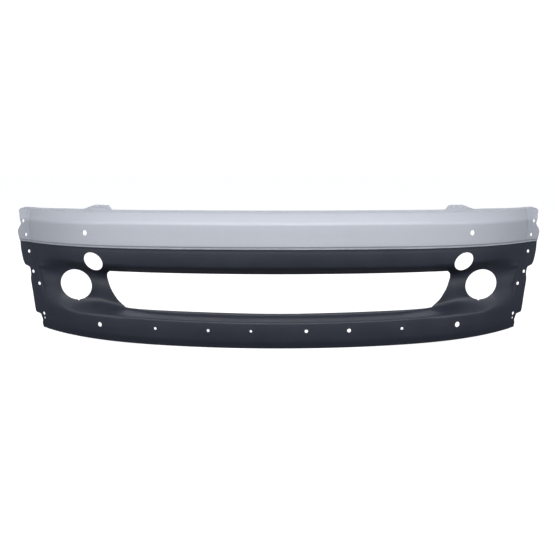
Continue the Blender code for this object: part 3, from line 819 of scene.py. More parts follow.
@dataclass
class UpperCover:
    """The silver moulding: bead, band, slope, top flange with its ears, joint flange.

    Its section runs from the joint flange over the set-back bead and a chamfer to the band, over
    the crease to the slope, and round the top edge to the rising top flange. Each ear is a pad of
    that flange, raised behind a ramp, and seated a little higher again where its bracket lies.
    """

    plan: Plan
    joint: Joint
    ends: EndFlanges
    bead_height: float = 0.0038
    chamfer: Pair = (0.3657, 0.3697)
    chamfer_radii: Pair = (0.0012, 0.0036)
    band_rows: tuple = (0.3850, 0.3970, 0.4090, 0.4210, 0.4320)
    crease_z: float = 0.4535
    crease_drop: float = 0.006
    crease_span: Pair = (0.5, 0.95)
    crease_radius: float = 0.034
    slope: tuple = ((0.0120, 0.01375), (0.0180, 0.0206))
    slope_end: Pair = (0.0240, 0.4805)
    top_corner: tuple = (0.0318, 0.4880, 0.010)
    top_rows: tuple = (0.0400, 0.0430, 0.0460, 0.0490, 0.0525, 0.0560, 0.0610)
    seat_rows: Pair = (0.0665, 0.0690)
    seat_shift: float = 0.15
    rear_rows: int = 5
    arc_steps: int = 5
    top_edge: Pair = (0.0310, 0.4878)
    top_rear_depth: float = 0.0700
    top_slope: float = 0.18
    top_flattening: tuple = (0.74, 0.94, 0.5)
    ear_centre: float = 0.655
    ear_half: float = 0.0225
    ear_ramps: Pair = (0.0270, 0.0520)
    ear_rear_depth: float = 0.1030
    ear_lift: float = 0.0080
    ear_lift_depths: Pair = (0.040, 0.056)
    ear_hole: float = 0.014
    ear_hole_depth: float = 0.0880
    seat_depths: Pair = (0.0715, 0.0740)
    seat_rise: float = 0.0006
    band_holes: tuple = ((-0.7043, 0.4126, 0.020), (0.7043, 0.4126, 0.020))
    tab_hole: tuple = (0.9640, 0.0200, 0.011)
    rivet_hole: float = 0.0046

    def ear_share(self, s: float) -> float:
        """1 on an ear's flat pad, falling to 0 over its ramps."""
        inner = self.ear_centre - self.ear_half
        outer = self.ear_centre + self.ear_half
        rise = smooth_step(s, inner - self.ear_ramps[0], inner)
        return rise * (1.0 - smooth_step(s, outer, outer + self.ear_ramps[1]))

    def top_z(self, s: float, depth: float) -> float:
        """Height of the top flange's upper face at s and depth."""
        pad = self.ear_lift * smooth_step(depth, *self.ear_lift_depths)
        seat = self.seat_rise * smooth_step(depth, *self.seat_depths)
        start, end, share = self.top_flattening
        slope = self.top_slope * (1.0 - share * smooth_step(s, start, end))
        plain = self.top_edge[1] + slope * (depth - self.top_edge[0])
        return plain + self.ear_share(s) * (pad + seat)

    def section(self, s: float) -> list[Pair]:
        """Outer line of the cover at half-width s.

        Args:
            s: Distance from the symmetry plane.

        Returns:
            Depth and height pairs, from the joint flange's rear edge to the top flange's.
        """
        seam, bead = self.joint.seam_z, self.joint.bead_depth
        crease = self.crease_z - self.crease_drop * smooth_step(s, *self.crease_span)
        rear = self.top_rear_depth + (
            self.ear_rear_depth - self.top_rear_depth) * self.ear_share(s)
        depths = (self.joint.flange_depth, *reversed(self.joint.flange_rows), bead)
        corners = [(depth, seam, 0.0) for depth in depths]
        corners.append((bead, seam + self.bead_height, 0.0))
        corners.append((bead, self.chamfer[0], self.chamfer_radii[0]))
        corners.append((0.0, self.chamfer[1], self.chamfer_radii[1]))
        corners += [(0.0, z, 0.0) for z in self.band_rows]
        corners.append((0.0, crease, self.crease_radius))
        corners += [(depth, crease + rise, 0.0) for depth, rise in self.slope]
        corners += [(*self.slope_end, 0.0), self.top_corner]
        corners.append((self.top_rows[0], self.top_z(s, self.top_rows[0]), 0.0))
        extra = (rear - self.top_rear_depth) * self.seat_shift
        rows = [*self.top_rows[1:], *(depth + extra for depth in self.seat_rows)]
        run = rear - rows[-1]
        rows += [rows[-1] + run * (step + 1) / self.rear_rows for step in range(self.rear_rows)]
        line = filleted(corners, self.arc_steps)
        return line + [(depth, self.top_z(s, depth)) for depth in rows]

    def columns(self) -> list[float]:
        """Half-widths of the columns up to the crease, as parts of it."""
        crease = self.plan.crease_xs[1]
        first = self.ear_centre - self.ear_half - self.ear_ramps[0]
        last = self.ear_centre + self.ear_half + self.ear_ramps[1]
        steps = ((0.0, 0.014), (first, 0.0045), (last, 0.009))
        return [x / crease for x in stretches(steps, crease)]

    def build(self) -> bpy.types.Object:
        """Model the cover.

        Returns:
            The moulding as one closed shell.
        """
        xs = self.plan.across(self.columns(), self.joint.seam_z)
        lines = [self.section(abs(x)) for x in xs]
        rows = [[self.plan.place(x, *line[level]) for x, line in zip(xs, lines)]
                for level in range(len(lines[0]))]
        cover = laid_sheet("silver_upper_cover", rows)
        thicken(cover, self.joint.wall, self.joint.edge_radius)
        cut(cover, self.ends.trim(self.plan))
        cut(cover, self.joint.end_blocks(self.plan))
        cut(cover, self.holes())
        tidy(cover, 32.0)
        return cover

    def holes(self) -> list[bpy.types.Object]:
        """Cutters for every hole of the cover."""
        drills = self.joint.drills(self.plan)
        drills += self.ends.slots(self.plan, self.ends.upper_slots, 0.0)
        for x, z, diameter in self.band_holes:
            spot = self.plan.place(x, 0.0, z)
            drills.append(rod(spot, self.plan.outward(x, z), diameter, diameter, 0.05))
        tab_x, tab_depth, tab_diameter = self.tab_hole
        tab_depth += self.top_edge[0]
        for side in Side:
            spot = self.plan.place(
                side.value * self.ear_centre, self.ear_hole_depth,
                self.top_z(self.ear_centre, self.ear_hole_depth))
            drills.append(rod(spot, UP, self.ear_hole, self.ear_hole, 0.04))
            spot = self.plan.place(
                side.value * tab_x, tab_depth, self.top_z(tab_x, tab_depth))
            drills.append(rod(spot, UP, tab_diameter, tab_diameter, 0.02))
        return drills + rivet_drills(self, self.rivet_hole)


@dataclass
class LowerCover:
    """The charcoal moulding: upper band, recess with its openings, lower face.

    The recess has an upper wall below the lip, a floor with the flat lamp seats, and a lower wall,
    the shelf, that turns up round the lamps as a scoop. Beyond the lamps a shallow hollow carries
    the overhang on. A span gives the half-widths between which a size changes over.
    """

    plan: Plan
    joint: Joint
    ends: EndFlanges
    bottom_rise: float = 0.0355
    edge_tuck: Pair = (0.005, 0.030)
    face_crown: float = 1.8
    face_margin: float = 0.012
    band_crown: float = 1.7
    band_low: float = 0.20
    crown_fade: Pair = (0.060, 0.160)
    crown_end: Pair = (0.84, 0.91)
    top_round: Pair = (0.322, 1.6)
    hollow_depth: float = 0.032
    hollow_start: Pair = (0.740, 0.820)
    hollow_end: Pair = (0.835, 0.940)
    hollow_slope: float = 0.43
    hollow_lift: float = 0.008
    hollow_gain: float = 0.60
    hollow_rows: Pair = (0.115, 0.205)
    hollow_blend: float = 0.006
    floor_depth: float = 0.0560
    floor_drop: float = 0.030
    floor_span: Pair = (0.45, 0.70)
    seat_span: Pair = (0.64, 0.72)
    blends: Pair = (0.014, 0.040)
    blend_span: Pair = (0.50, 0.66)
    lip_z: float = 0.291
    lip_rise: float = 0.007
    lip_span: Pair = (0.62, 0.86)
    lip_gain: float = 2.0
    shelf_z: float = 0.0976
    shelf_rise: float = 0.042
    shelf_gain: float = 3.8
    scoop_gain: float = 1.8
    scoop_span: Pair = (0.60, 0.76)
    scoop_centre: Pair = (0.735, 0.215)
    scoop_radius: float = 0.100
    lamp_centre: tuple = (0.7590, 0.1674, 0.2127)
    lamp_size: Pair = (0.1200, 0.1050)
    lamp_notch: Pair = (0.0048, 0.0045)
    lamp_yaw: float = math.radians(8.0)
    lamp_pitch: float = math.radians(9.5)
    tow_centre: tuple = (0.6768, 0.1012, 0.3076)
    tow_size: Pair = (0.0759, 0.0528)
    tilt: float = math.radians(46.0)
    bore_from: tuple = (0.0, -2.95, 0.6666)
    row_steps: tuple = (
        (0.0, 0.004), (0.088, 0.0012), (0.0976, 0.0012), (0.116, 0.0022), (0.136, 0.0042),
        (0.262, 0.0026), (0.312, 0.005))
    row_blend: Pair = (0.170, 0.044)
    column_steps: tuple = ((0.0, 0.013), (0.55, 0.006), (0.86, 0.009))
    relaxed: tuple = ((0.0, 0.905, 0.045, 0.345, 14), (0.56, 0.905, 0.075, 0.30, 30))
    holes: tuple = (
        (-0.6583, 0.0760, 0.0170), (-0.4465, 0.0711, 0.0100), (-0.2533, 0.0678, 0.0105),
        (-0.0994, 0.0670, 0.0090), (0.0994, 0.0670, 0.0125), (0.2533, 0.0678, 0.0145),
        (0.4465, 0.0711, 0.0107), (0.6583, 0.0760, 0.0205))
    opening: tuple = (
        (0.3549, 0.2662), (0.6100, 0.2683), (0.6260, 0.2658), (0.6377, 0.2564),
        (0.6411, 0.2412), (0.6375, 0.2264), (0.6294, 0.2042), (0.6170, 0.1821),
        (0.6011, 0.1603), (0.5848, 0.1459), (0.5740, 0.1389), (0.5582, 0.1320),
        (0.4732, 0.1290), (0.2127, 0.1233))
    opening_middle: Pair = (0.2649, 0.1206)

    def crest(self, s: float) -> float:
        """Height where the recess's lower wall meets the lower face."""
        return self.shelf_z + self.shelf_rise * s * s

    def lip(self, s: float) -> float:
        """Height where the recess's upper wall starts."""
        return self.lip_z + self.lip_rise * smooth_step(s, *self.lip_span)

    def scoop_inside(self, s: float, z: float) -> float:
        """Distance inside the recess's lower and outer boundary."""
        cx, cz = self.scoop_centre
        if s < cx:
            return z - min(self.crest(s), cz - self.scoop_radius)
        if z < cz:
            return self.scoop_radius - math.hypot(s - cx, z - cz)
        return self.scoop_radius - (s - cx)

    def lamp_floor(self, s: float, z: float) -> float:
        """Rearward offset of the flat lamp seat at s and z."""
        x, y, height = self.lamp_centre
        return y + math.tan(self.lamp_yaw) * (s - x) - math.tan(self.lamp_pitch) * (z - height)

    def recess(self, x: float, z: float) -> float:
        """Depth of the recess behind the bow at x and z."""
        s = abs(x)
        middle = self.floor_depth + self.floor_drop * smooth_step(s, *self.floor_span)
        seat = self.lamp_floor(s, z) - self.plan.bow(s)
        floor = middle + (seat - middle) * smooth_step(s, *self.seat_span)
        change = smooth_step(s, *self.scoop_span)
        gain = self.shelf_gain + (self.scoop_gain - self.shelf_gain) * change
        lower = gain * self.scoop_inside(s, z)
        upper = self.lip_gain * (self.lip(s) - z)
        change = smooth_step(s, *self.blend_span)
        blend = self.blends[0] + (self.blends[1] - self.blends[0]) * change
        main = max(0.0, soft_min(soft_min(floor, lower, blend), upper, self.blends[0]))
        return -soft_min(-main, -self.outer_hollow(s, z), self.hollow_blend)

    def outer_hollow(self, s: float, z: float) -> float:
        """Depth of the shallow hollow that carries the overhang on beyond the lamps."""
        share = smooth_step(s, *self.hollow_start) * (1.0 - smooth_step(s, *self.hollow_end))
        share *= smooth_step(z, *self.hollow_rows)
        fall = self.hollow_slope * max(0.0, s - self.hollow_end[0])
        over = self.hollow_gain * (self.lip(s) - fall + self.hollow_lift - z)
        return max(0.0, min(self.hollow_depth * share, over))

    def bottom(self, x: float) -> float:
        """Height of the lower edge at x."""
        return self.bottom_rise * x * x

    def crown(self, x: float, z: float) -> float:
        """Depth that the band's and the lower face's gentle crowns add at x and z."""
        tuck, height = self.edge_tuck
        tuck *= 1.0 - smooth_step(z - self.bottom(x), 0.0, height)
        below = max(0.0, self.crest(abs(x)) - self.face_margin - z)
        over = self.joint.seam_z - z if z > self.band_low else 0.0
        share = 1.0 - smooth_step(over, *self.crown_fade)
        share *= 1.0 - smooth_step(abs(x), *self.crown_end)
        top = max(0.0, z - self.top_round[0])
        crown = self.face_crown * below * below + self.band_crown * over * over * share
        return tuck + crown + self.top_round[1] * top * top

    def levels(self) -> list[float]:
        """Heights of the rows on the symmetry plane, from the bottom up."""
        return stretches(self.row_steps, self.joint.seam_z - self.joint.gap)[:-1]

    def row_z(self, level: float, s: float) -> float:
        """Height of a row at half-width s: low rows follow the shelf's crest and the edge."""
        crest = min(self.crest(s), self.scoop_centre[1] - self.scoop_radius) - self.shelf_z
        top, height = self.row_blend
        if level > top:
            return level
        if level > self.shelf_z:
            return level + crest * min(1.0, (top - level) / height)
        low = 1.0 - level / self.shelf_z
        return level + crest * (1.0 - low) + self.bottom(s) * low

    def columns(self) -> list[float]:
        """Half-widths of the columns up to the crease, as parts of it."""
        crease = self.plan.crease_xs[1]
        return [x / crease for x in stretches(self.column_steps, crease)]

    def build(self) -> bpy.types.Object:
        """Model the cover.

        Returns:
            The moulding as one closed shell.
        """
        shares = self.columns()
        top = self.joint.seam_z - self.joint.gap
        rows = []
        for level in self.levels():
            row = []
            for x in self.plan.across(shares, self.row_z(level, self.plan.crease_xs[0])):
                z = self.row_z(level, abs(x))
                depth = self.joint.bead_depth + self.recess(x, z) + self.crown(x, z)
                row.append(self.plan.place(x, depth, z))
            rows.append(row)
        edge = self.joint.bead_depth + self.crown(0.0, top)
        for depth in (edge, *self.joint.flange_rows, self.joint.flange_depth):
            rows.append([self.plan.place(x, depth, top) for x in self.plan.across(shares, top)])
        cover = laid_sheet("charcoal_lower_cover", rows)
        self.soften(cover)
        thicken(cover, self.joint.wall, self.joint.edge_radius)
        cut(cover, self.ends.trim(self.plan))
        cut(cover, self.joint.end_blocks(self.plan))
        cut(cover, self.openings())
        cut(cover, self.drills())
        tidy(cover, 32.0)
        return cover

    def soften(self, cover: bpy.types.Object) -> None:
        """Round the recess's edges by relaxing the sheet around them."""
        for start, end, low, high, repeats in self.relaxed:
            select(cover, "VERT",
                   lambda point: start <= abs(point.co.x) < end and low < point.co.z < high)
            bpy.ops.mesh.vertices_smooth(factor=0.5, repeat=repeats)
        deselect_all()

    def openings(self) -> list[bpy.types.Object]:
        """Cutters for the air opening, the lamp seats and the tow holes.

        Returns:
            Cutters that stay clear of each other.
        """
        top, bottom = self.opening_middle
        right = list(self.opening)
        loop = [(0.0, top)] + right + [(0.0, bottom)] + [(-x, z) for x, z in reversed(right)]
        cutters = [prism("opening_prism", splined(loop, 3, closed=True),
                         self.plan.front_y - 0.05, 0.35)]
        for side in Side:
            x, y, z = self.lamp_centre
            cutters.append(self.lamp_cutter(side, Vector((side.value * x, y, z))))
            x, y, z = self.tow_centre
            spot = Vector((side.value * x, self.plan.front_y + y, z))
            aim = Vector(self.bore_from) - spot
            cutters.append(rod(spot, aim, *self.tow_size, 0.16, 64, side.value * self.tilt))
        return cutters

    def lamp_cutter(self, side: Side, centre: Vector) -> bpy.types.Object:
        """A round cutter with the small key notch at its bottom.

        Args:
            side: End of the cover.
            centre: Middle of the aperture, its y counted from the foremost skin.

        Returns:
            The cutter.
        """
        long, short = (size / 2.0 for size in self.lamp_size)
        tilt = side.value * self.tilt
        count = 90
        loop = []
        for step in range(count):
            angle = 2.0 * math.pi * step / count
            u, v = long * math.cos(angle), short * math.sin(angle)
            loop.append((u * math.cos(tilt) - v * math.sin(tilt),
                         u * math.sin(tilt) + v * math.cos(tilt)))
        low = min(loop, key=lambda spot: spot[1])
        width, drop = self.lamp_notch
        outline = []
        for x, z in loop:
            near = max(0.0, 1.0 - abs(x - low[0]) / width) if z < 0.0 else 0.0
            outline.append((x, z - drop * near))
        cutter = prism("lamp_prism", outline, -0.07, 0.14)
        spot = centre + Vector((0.0, self.plan.front_y, 0.0))
        aim = spot - Vector(self.bore_from)
        turn = aim.to_track_quat("Y", "Z").to_matrix().to_4x4()
        cutter.data.transform(Matrix.Translation(spot) @ turn)
        return cutter

    def drills(self) -> list[bpy.types.Object]:
        """Cutters for the small holes of the lower face, the ends and the joint flange."""
        drills = self.joint.drills(self.plan)
        drills += self.ends.slots(self.plan, self.ends.lower_slots, self.joint.bead_depth)
        for x, z, diameter in self.holes:
            spot = self.plan.place(x, self.joint.bead_depth, z)
            drills.append(rod(spot, self.plan.outward(x, z), diameter, diameter, 0.04))
        x, z, diameter = self.ends.screw_hole
        for side in Side:
            spot = self.plan.place(side.value * x, self.joint.bead_depth, z)
            aim = self.plan.outward(side.value * x, z)
            drills.append(rod(spot, aim, diameter, diameter, 0.03))
        return drills


# ---------------------------------------------------------------- hardware


RIVET_DEPTH = 0.0640
RIVET_SPREAD = 0.0150


def rivet_spots(cover: UpperCover) -> list[tuple[str, Vector]]:
    """Names and places of the ear rivets, on the ears' upper face."""
    spots = []
    for side in Side:
        for end, sign in (("inner", -1.0), ("outer", 1.0)):
            x = side.value * (cover.ear_centre + sign * RIVET_SPREAD)
            height = cover.top_z(cover.ear_centre, RIVET_DEPTH)
            spots.append((f"{side.word}_{end}", cover.plan.place(x, RIVET_DEPTH, height)))
    return spots


def ear_normal(cover: UpperCover) -> Vector:
    """Upward normal of the sloping ears."""
    return Vector((0.0, -cover.top_slope, 1.0)).normalized()


def rivet_drills(cover: UpperCover, diameter: float) -> list[bpy.types.Object]:
    """Cutters for the rivet holes of the ears or their plates."""
    normal = ear_normal(cover)
    return [rod(spot, normal, diameter, diameter, 0.03, 24) for _name, spot in rivet_spots(cover)]


@dataclass
class JointRails:
    """Three dip-coated steel strips on the joint flange."""

    plan: Plan
    joint: Joint
    thickness: float = 0.0020
    depths: Pair = (0.0110, 0.0320)
    half_break: Pair = (0.390, 0.410)
    end: float = 0.905

    @property
    def bottom(self) -> float:
        """Height of the rails' lower face."""
        return self.joint.seam_z + self.joint.wall + self.joint.gap

    def build(self) -> dict[str, bpy.types.Object]:
        """Model the rails.

        Returns:
            Each rail by the CAD node that it stands for.
        """
        inner, outer = self.half_break
        spans = {"left": (-self.end, -outer), "centre": (-inner, inner), "right": (outer, self.end)}
        rails = {}
        for word, (start, end) in spans.items():
            xs = stretches(((start, 0.012),), end)
            rows = [[self.plan.place(x, depth, self.bottom + self.thickness) for x in xs]
                    for depth in (self.depths[0], sum(self.depths) / 2.0, self.depths[1])]
            rail = laid_sheet(f"joint_strip_{word}", rows)
            modify(rail, "SOLIDIFY", thickness=self.thickness, offset=-1.0)
            round_edges(rail, 0.0004)
            cut(rail, self.joint.drills(self.plan))
            tidy(rail, 32.0)
            rails[f"joint_rail_{word}"] = rail
        return rails


@dataclass
class Fasteners:
    """Flanged hexagon screws and nuts of the joint, turned on the Z axis and then set out.

    A skirt narrows from the flange's rim to the hexagon's corners, and the hexagon's end is
    chamfered. The thread is a stack of rounded turns without a helix.
    """

    plan: Plan
    joint: Joint
    rails: JointRails
    across_flats: float = 0.010
    flange: float = 0.0145
    shank: float = 0.006
    pitch: float = 0.0010
    thread_root: float = 0.88
    tip_share: float = 0.74
    sides: int = 48
    rim: float = 0.0010
    skirts: Pair = (0.0009, 0.0011)
    shoulder: float = 0.0001
    chamfers: Pair = (0.0008, 0.0007)
    chamfer_share: float = 0.86
    dish: Pair = (0.0010, 0.0007)
    head_height: float = 0.0062
    nut_height: float = 0.0064
    tip_reach: float = 0.0105

    @property
    def corner(self) -> float:
        """Radius of the hexagon's corners."""
        return self.across_flats / math.sqrt(3.0)

    def hexed(self, thing: bpy.types.Object, low: float, high: float) -> None:
        """Pull a round head's points between two heights onto a hexagon.

        Args:
            thing: The turned fastener on the Z axis.
            low: Height where the hexagon starts.
            high: Height where it ends.
        """
        flat = self.across_flats / 2.0
        for vertex in thing.data.vertices:
            radius = math.hypot(vertex.co.x, vertex.co.y)
            if low < vertex.co.z < high and radius > self.shank * 0.7:
                angle = math.atan2(vertex.co.y, vertex.co.x) % (math.pi / 3.0)
                edge = flat / math.cos(angle - math.pi / 6.0)
                if radius > edge:
                    vertex.co.x *= edge / radius
                    vertex.co.y *= edge / radius

    def screw(self) -> bpy.types.Object:
        """Model one screw, its head below its seat."""
        skirt, chamfer = self.skirts[0], self.chamfers[0]
        seat = self.joint.seam_z - 2.0 * self.joint.gap - self.joint.wall
        screw = disc("joint_screw_master", self.flange / 2.0, seat - self.rim, seat, self.sides)
        select(screw, "FACE", facing(False))
        turned((-skirt, self.corner / (self.flange / 2.0)), (-self.shoulder, 1.0),
               (-(self.head_height - self.rim - skirt - self.shoulder - chamfer), 1.0),
               (-chamfer, self.chamfer_share))
        bpy.ops.mesh.inset(thickness=self.dish[0], depth=-self.dish[1])
        select(screw, "FACE", facing(True))
        bpy.ops.mesh.inset(thickness=self.flange / 2.0 - self.shank / 2.0)
        tip = self.joint.seam_z + self.joint.wall + self.rails.thickness + self.tip_reach
        plain = self.rails.bottom + self.rails.thickness - seat
        turned((plain, 1.0))
        count = int((tip - seat - plain - self.rim) / self.pitch)
        turn = ((self.pitch / 2.0, self.thread_root), (self.pitch / 2.0, 1.0 / self.thread_root))
        turned(*turn * count)
        turned((tip - seat - plain - count * self.pitch, self.tip_share))
        deselect_all()
        self.hexed(screw, seat - self.head_height - self.rim, seat - self.rim - 0.0008)
        tidy(screw, 30.0)
        return screw

    def nut(self) -> bpy.types.Object:
        """Model one nut, its flange on the rail."""
        skirt, chamfer = self.skirts[1], self.chamfers[1]
        seat = self.rails.bottom + self.rails.thickness + self.joint.gap
        nut = disc("joint_nut_master", self.flange / 2.0, seat, seat + self.rim, self.sides)
        select(nut, "FACE", facing(True))
        turned((skirt, self.corner / (self.flange / 2.0)), (self.shoulder, 1.0),
               (self.nut_height - self.rim - skirt - self.shoulder - chamfer, 1.0),
               (chamfer, self.chamfer_share))
        deselect_all()
        self.hexed(nut, seat + self.rim + 0.0010, seat + self.nut_height + self.rim)
        bore = self.shank + 2.0 * self.joint.gap
        cut(nut, [rod(UP * seat, UP, bore, bore, 0.030, 32)])
        tidy(nut, 30.0)
        return nut

    def build(self) -> dict[str, bpy.types.Object]:
        """Model one screw and one nut, and copy them to every place.

        Returns:
            Each piece by the CAD node that it stands for.
        """
        pieces = {}
        for kind, master in (("screw", self.screw()), ("nut", self.nut())):
            for number, spot in enumerate(self.joint.screws(self.plan), start=1):
                name = f"joint_{kind}_{number:02d}"
                shift = Vector((spot.x, spot.y, 0.0))
                pieces[name] = twin(master, f"hex_flange_{kind}_{number:02d}", shift)
            bpy.data.objects.remove(master, do_unlink=True)
        return pieces


@dataclass
class EarPlates:
    """Steel plates under the ears and the rivets that hold them."""

    cover: UpperCover
    thickness: float = 0.0020
    depths: Pair = (0.0580, 0.1000)
    margin: float = 0.001
    corner: float = 0.004
    head: float = 0.0045
    tail: float = 0.0040
    shank: float = 0.0020
    dome: tuple = ((0.0004, 0.94), (0.0004, 0.84), (0.0003, 0.70))
    rim: float = 0.0004
    dimple: float = 0.0005
    bulb: tuple = ((-0.0006, 1.0), (-0.0008, 0.72))

    @property
    def drop(self) -> float:
        """Vertical distance from the ear's upper face to the plate's upper face."""
        slant = math.cos(math.atan(self.cover.top_slope))
        return (self.cover.joint.wall + 2.0 * self.cover.joint.gap) / slant

    def plate(self, side: Side) -> bpy.types.Object:
        """Model one plate.

        Args:
            side: The ear that it lies under.

        Returns:
            The plate.
        """
        cover, plan = self.cover, self.cover.plan
        x = side.value * cover.ear_centre
        reach = cover.ear_half - self.margin
        front, rear = self.depths
        plain = cover.top_edge[1] + cover.ear_lift - self.drop
        deselect_all()
        bpy.ops.mesh.primitive_cube_add(size=1.0)
        plate = added(f"ear_backing_plate_{side.word}")
        for vertex in plate.data.vertices:
            depth = rear if vertex.co.y > 0.0 else front
            at = x + math.copysign(reach, vertex.co.x)
            z = plain + cover.top_slope * (depth - cover.top_edge[0])
            lower = self.thickness if vertex.co.z < 0.0 else 0.0
            vertex.co = plan.place(at, depth, z) - Vector((0.0, 0.0, lower))
        points = plate.data.vertices
        upright = 0.8
        select(plate, "EDGE", lambda edge: abs(
            (points[edge.vertices[0]].co - points[edge.vertices[1]].co).normalized().z) > upright)
        bpy.ops.mesh.bevel(offset=self.corner, segments=6, affect="EDGES")
        deselect_all()
        round_edges(plate, 0.0003)
        height = cover.top_z(cover.ear_centre, cover.ear_hole_depth)
        spot = plan.place(x, cover.ear_hole_depth, height)
        drills = rivet_drills(cover, cover.rivet_hole)
        cut(plate, drills + [rod(spot, UP, cover.ear_hole, cover.ear_hole, 0.04)])
        tidy(plate, 30.0)
        return plate

    def rivet(self) -> bpy.types.Object:
        """Model one blind rivet on the Z axis, its head above zero."""
        gap = self.cover.joint.gap
        grip = self.cover.joint.wall + 3.0 * gap + self.thickness
        rivet = disc("ear_rivet_master", self.head, gap, gap + self.rim, 32)
        select(rivet, "FACE", facing(True))
        turned(*self.dome)
        bpy.ops.mesh.inset(thickness=self.dimple)
        turned((-self.dimple, 1.0))
        select(rivet, "FACE", facing(False))
        bpy.ops.mesh.inset(thickness=self.head - self.shank)
        turned((-grip - gap, 1.0), (-0.0001, self.tail / self.shank), *self.bulb)
        deselect_all()
        tidy(rivet, 35.0)
        return rivet

    def build(self) -> dict[str, bpy.types.Object]:
        """Model the plates and copy the rivet to every place.

        Returns:
            Each piece by the CAD node that it stands for.
        """
        pieces = {f"ear_plate_{side.word}": self.plate(side) for side in Side}
        master = self.rivet()
        tilt = ear_normal(self.cover).to_track_quat("Z", "Y").to_matrix().to_4x4()
        master.data.transform(tilt)
        for word, spot in rivet_spots(self.cover):
            pieces[f"ear_rivet_{word}"] = twin(master, f"blind_rivet_{word}", spot)
        bpy.data.objects.remove(master, do_unlink=True)
        return pieces


# ---------------------------------------------------------------- studio


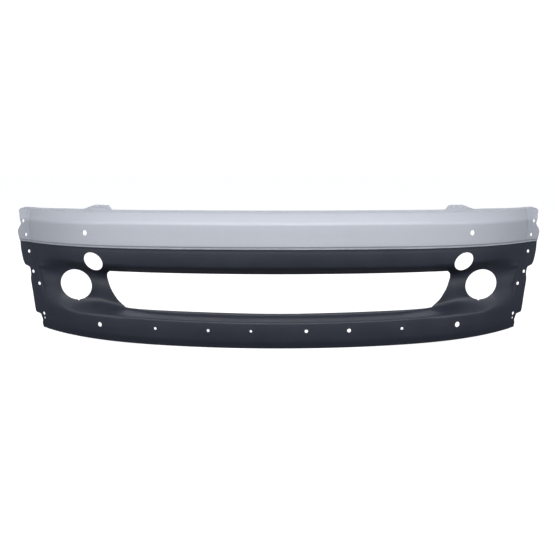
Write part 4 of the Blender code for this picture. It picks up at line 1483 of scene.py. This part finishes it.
@dataclass
class Studio:
    """Pale floor, soft lights and the camera.

    A softbox has its name, its place, its width and height, and its power in watts.
    """

    floor_size: float = 80.0
    floor_drop: float = 0.0005
    floor_tone: float = 0.35
    floor_glow: float = 0.90
    white: float = 1.05
    camera_back: float = 2.75
    camera_height: float = 0.6666
    camera_drop: float = math.radians(8.35)
    lens: float = 51.05
    shift: float = -0.0020
    ambient: Pair = (0.17, 0.33)
    softboxes: tuple = (
        ("key", (0.0, -5.0, 2.8), (4.0, 2.0), 226.0),
        ("left", (-4.2, -3.4, 2.2), (2.5, 2.0), 104.0),
        ("right", (4.2, -3.4, 2.2), (2.5, 2.0), 104.0),
        ("top", (0.0, -1.2, 3.6), (5.0, 1.6), 55.0),
        ("rear", (0.0, 3.8, 2.3), (4.5, 1.6), 48.0))

    def floor(self) -> None:
        """A pale floor that takes a faint shadow and throws no light back."""
        deselect_all()
        bpy.ops.mesh.primitive_plane_add(size=self.floor_size, location=(0.0, 0.0, -self.floor_drop))
        floor = added("studio_floor")
        material = bpy.data.materials.new("pale_studio_floor")
        material.use_nodes = True
        shader = material.node_tree.nodes["Principled BSDF"]
        shader.inputs["Base Color"].default_value = grey(self.floor_tone)
        shader.inputs["Roughness"].default_value = 1.0
        shader.inputs["Specular IOR Level"].default_value = 0.0
        shader.inputs["Emission Color"].default_value = grey(1.0)
        shader.inputs["Emission Strength"].default_value = self.floor_glow
        floor.data.materials.append(material)
        floor.visible_diffuse = False
        floor.visible_glossy = False

    def sky(self) -> None:
        """White surroundings for the eye, and a dimmer even light for the object."""
        world = bpy.data.worlds.new("studio_surroundings")
        world.use_nodes = True
        tree = world.node_tree
        tree.nodes.clear()
        white = add_node(tree, "ShaderNodeBackground", {"Color": grey(1.0), "Strength": self.white})
        place = add_node(tree, "ShaderNodeTexCoord").outputs["Generated"]
        height = add_node(tree, "ShaderNodeSeparateXYZ", links={0: place}).outputs["Z"]
        strength = add_node(
            tree, "ShaderNodeMapRange",
            {"From Min": -0.4, "From Max": 0.4, "To Min": self.ambient[0],
             "To Max": self.ambient[1]}, {"Value": height})
        dim = add_node(
            tree, "ShaderNodeBackground", {"Color": linear("#E4EBFA")},
            {"Strength": strength.outputs["Result"]})
        seen = add_node(tree, "ShaderNodeLightPath").outputs["Is Camera Ray"]
        mix = add_node(tree, "ShaderNodeMixShader", links={
            0: seen, 1: dim.outputs[0], 2: white.outputs[0]})
        add_node(tree, "ShaderNodeOutputWorld", links={0: mix.outputs[0]})
        bpy.context.scene.world = world

    def light(self, name: str, spot: Vector, aim: Vector, size: Pair, power: float) -> None:
        """A rectangular soft light.

        Args:
            name: Name of the light.
            spot: Its place.
            aim: Pair that it faces.
            size: Width and height.
            power: Watts.
        """
        lamp = bpy.data.lights.new(name, "AREA")
        lamp.shape = "RECTANGLE"
        lamp.size, lamp.size_y = size
        lamp.energy = power
        thing = bpy.data.objects.new(name, lamp)
        thing.location = spot
        thing.rotation_mode = "QUATERNION"
        thing.rotation_quaternion = (aim - spot).to_track_quat("-Z", "Y")
        bpy.context.collection.objects.link(thing)

    def camera(self) -> None:
        """The camera at the known viewing angle."""
        data = bpy.data.cameras.new("studio_camera")
        data.lens = self.lens
        data.sensor_width = 36.0
        data.shift_x = self.shift
        data.clip_end = 200.0
        camera = bpy.data.objects.new("studio_camera", data)
        camera.location = (0.0, CAD_BOX[0].y - self.camera_back, self.camera_height)
        camera.rotation_euler = (math.pi / 2.0 - self.camera_drop, 0.0, 0.0)
        bpy.context.collection.objects.link(camera)
        bpy.context.scene.camera = camera

    def build(self) -> None:
        """Set up floor, surroundings, lights and camera."""
        middle = (CAD_BOX[0] + CAD_BOX[1]) / 2.0
        self.floor()
        self.sky()
        for name, spot, size, power in self.softboxes:
            self.light(f"{name}_softbox", Vector(spot), middle, size, power)
        self.camera()
        bpy.context.scene.view_settings.view_transform = "Standard"


def main() -> None:
    """Build the studio and every piece of the cover, in order."""
    logging.basicConfig(level=logging.INFO, format="%(message)s")
    plan, joint, ends = Plan(), Joint(), EndFlanges()
    upper = UpperCover(plan, joint, ends)
    lower = LowerCover(plan, joint, ends)
    rails = JointRails(plan, joint)
    fasteners = Fasteners(plan, joint, rails)
    plates = EarPlates(upper)
    silver, charcoal = SILVER_PAINT.make(), CHARCOAL_PLASTIC.make()
    steel, zinc, aluminium = DIP_COATED_STEEL.make(), ZINC_PLATE.make(), BARE_ALUMINIUM.make()
    fit(upper.build(), "upper_cover", silver)
    fit(lower.build(), "lower_cover", charcoal)
    for node, rail in rails.build().items():
        fit(rail, node, steel)
    for node, piece in fasteners.build().items():
        fit(piece, node, zinc)
    for node, piece in plates.build().items():
        if "plate" in node:
            fit(piece, node, steel)
        else:
            fit(piece, node, aluminium)
    Studio().build()
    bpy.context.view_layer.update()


if __name__ == "__main__":
    main()
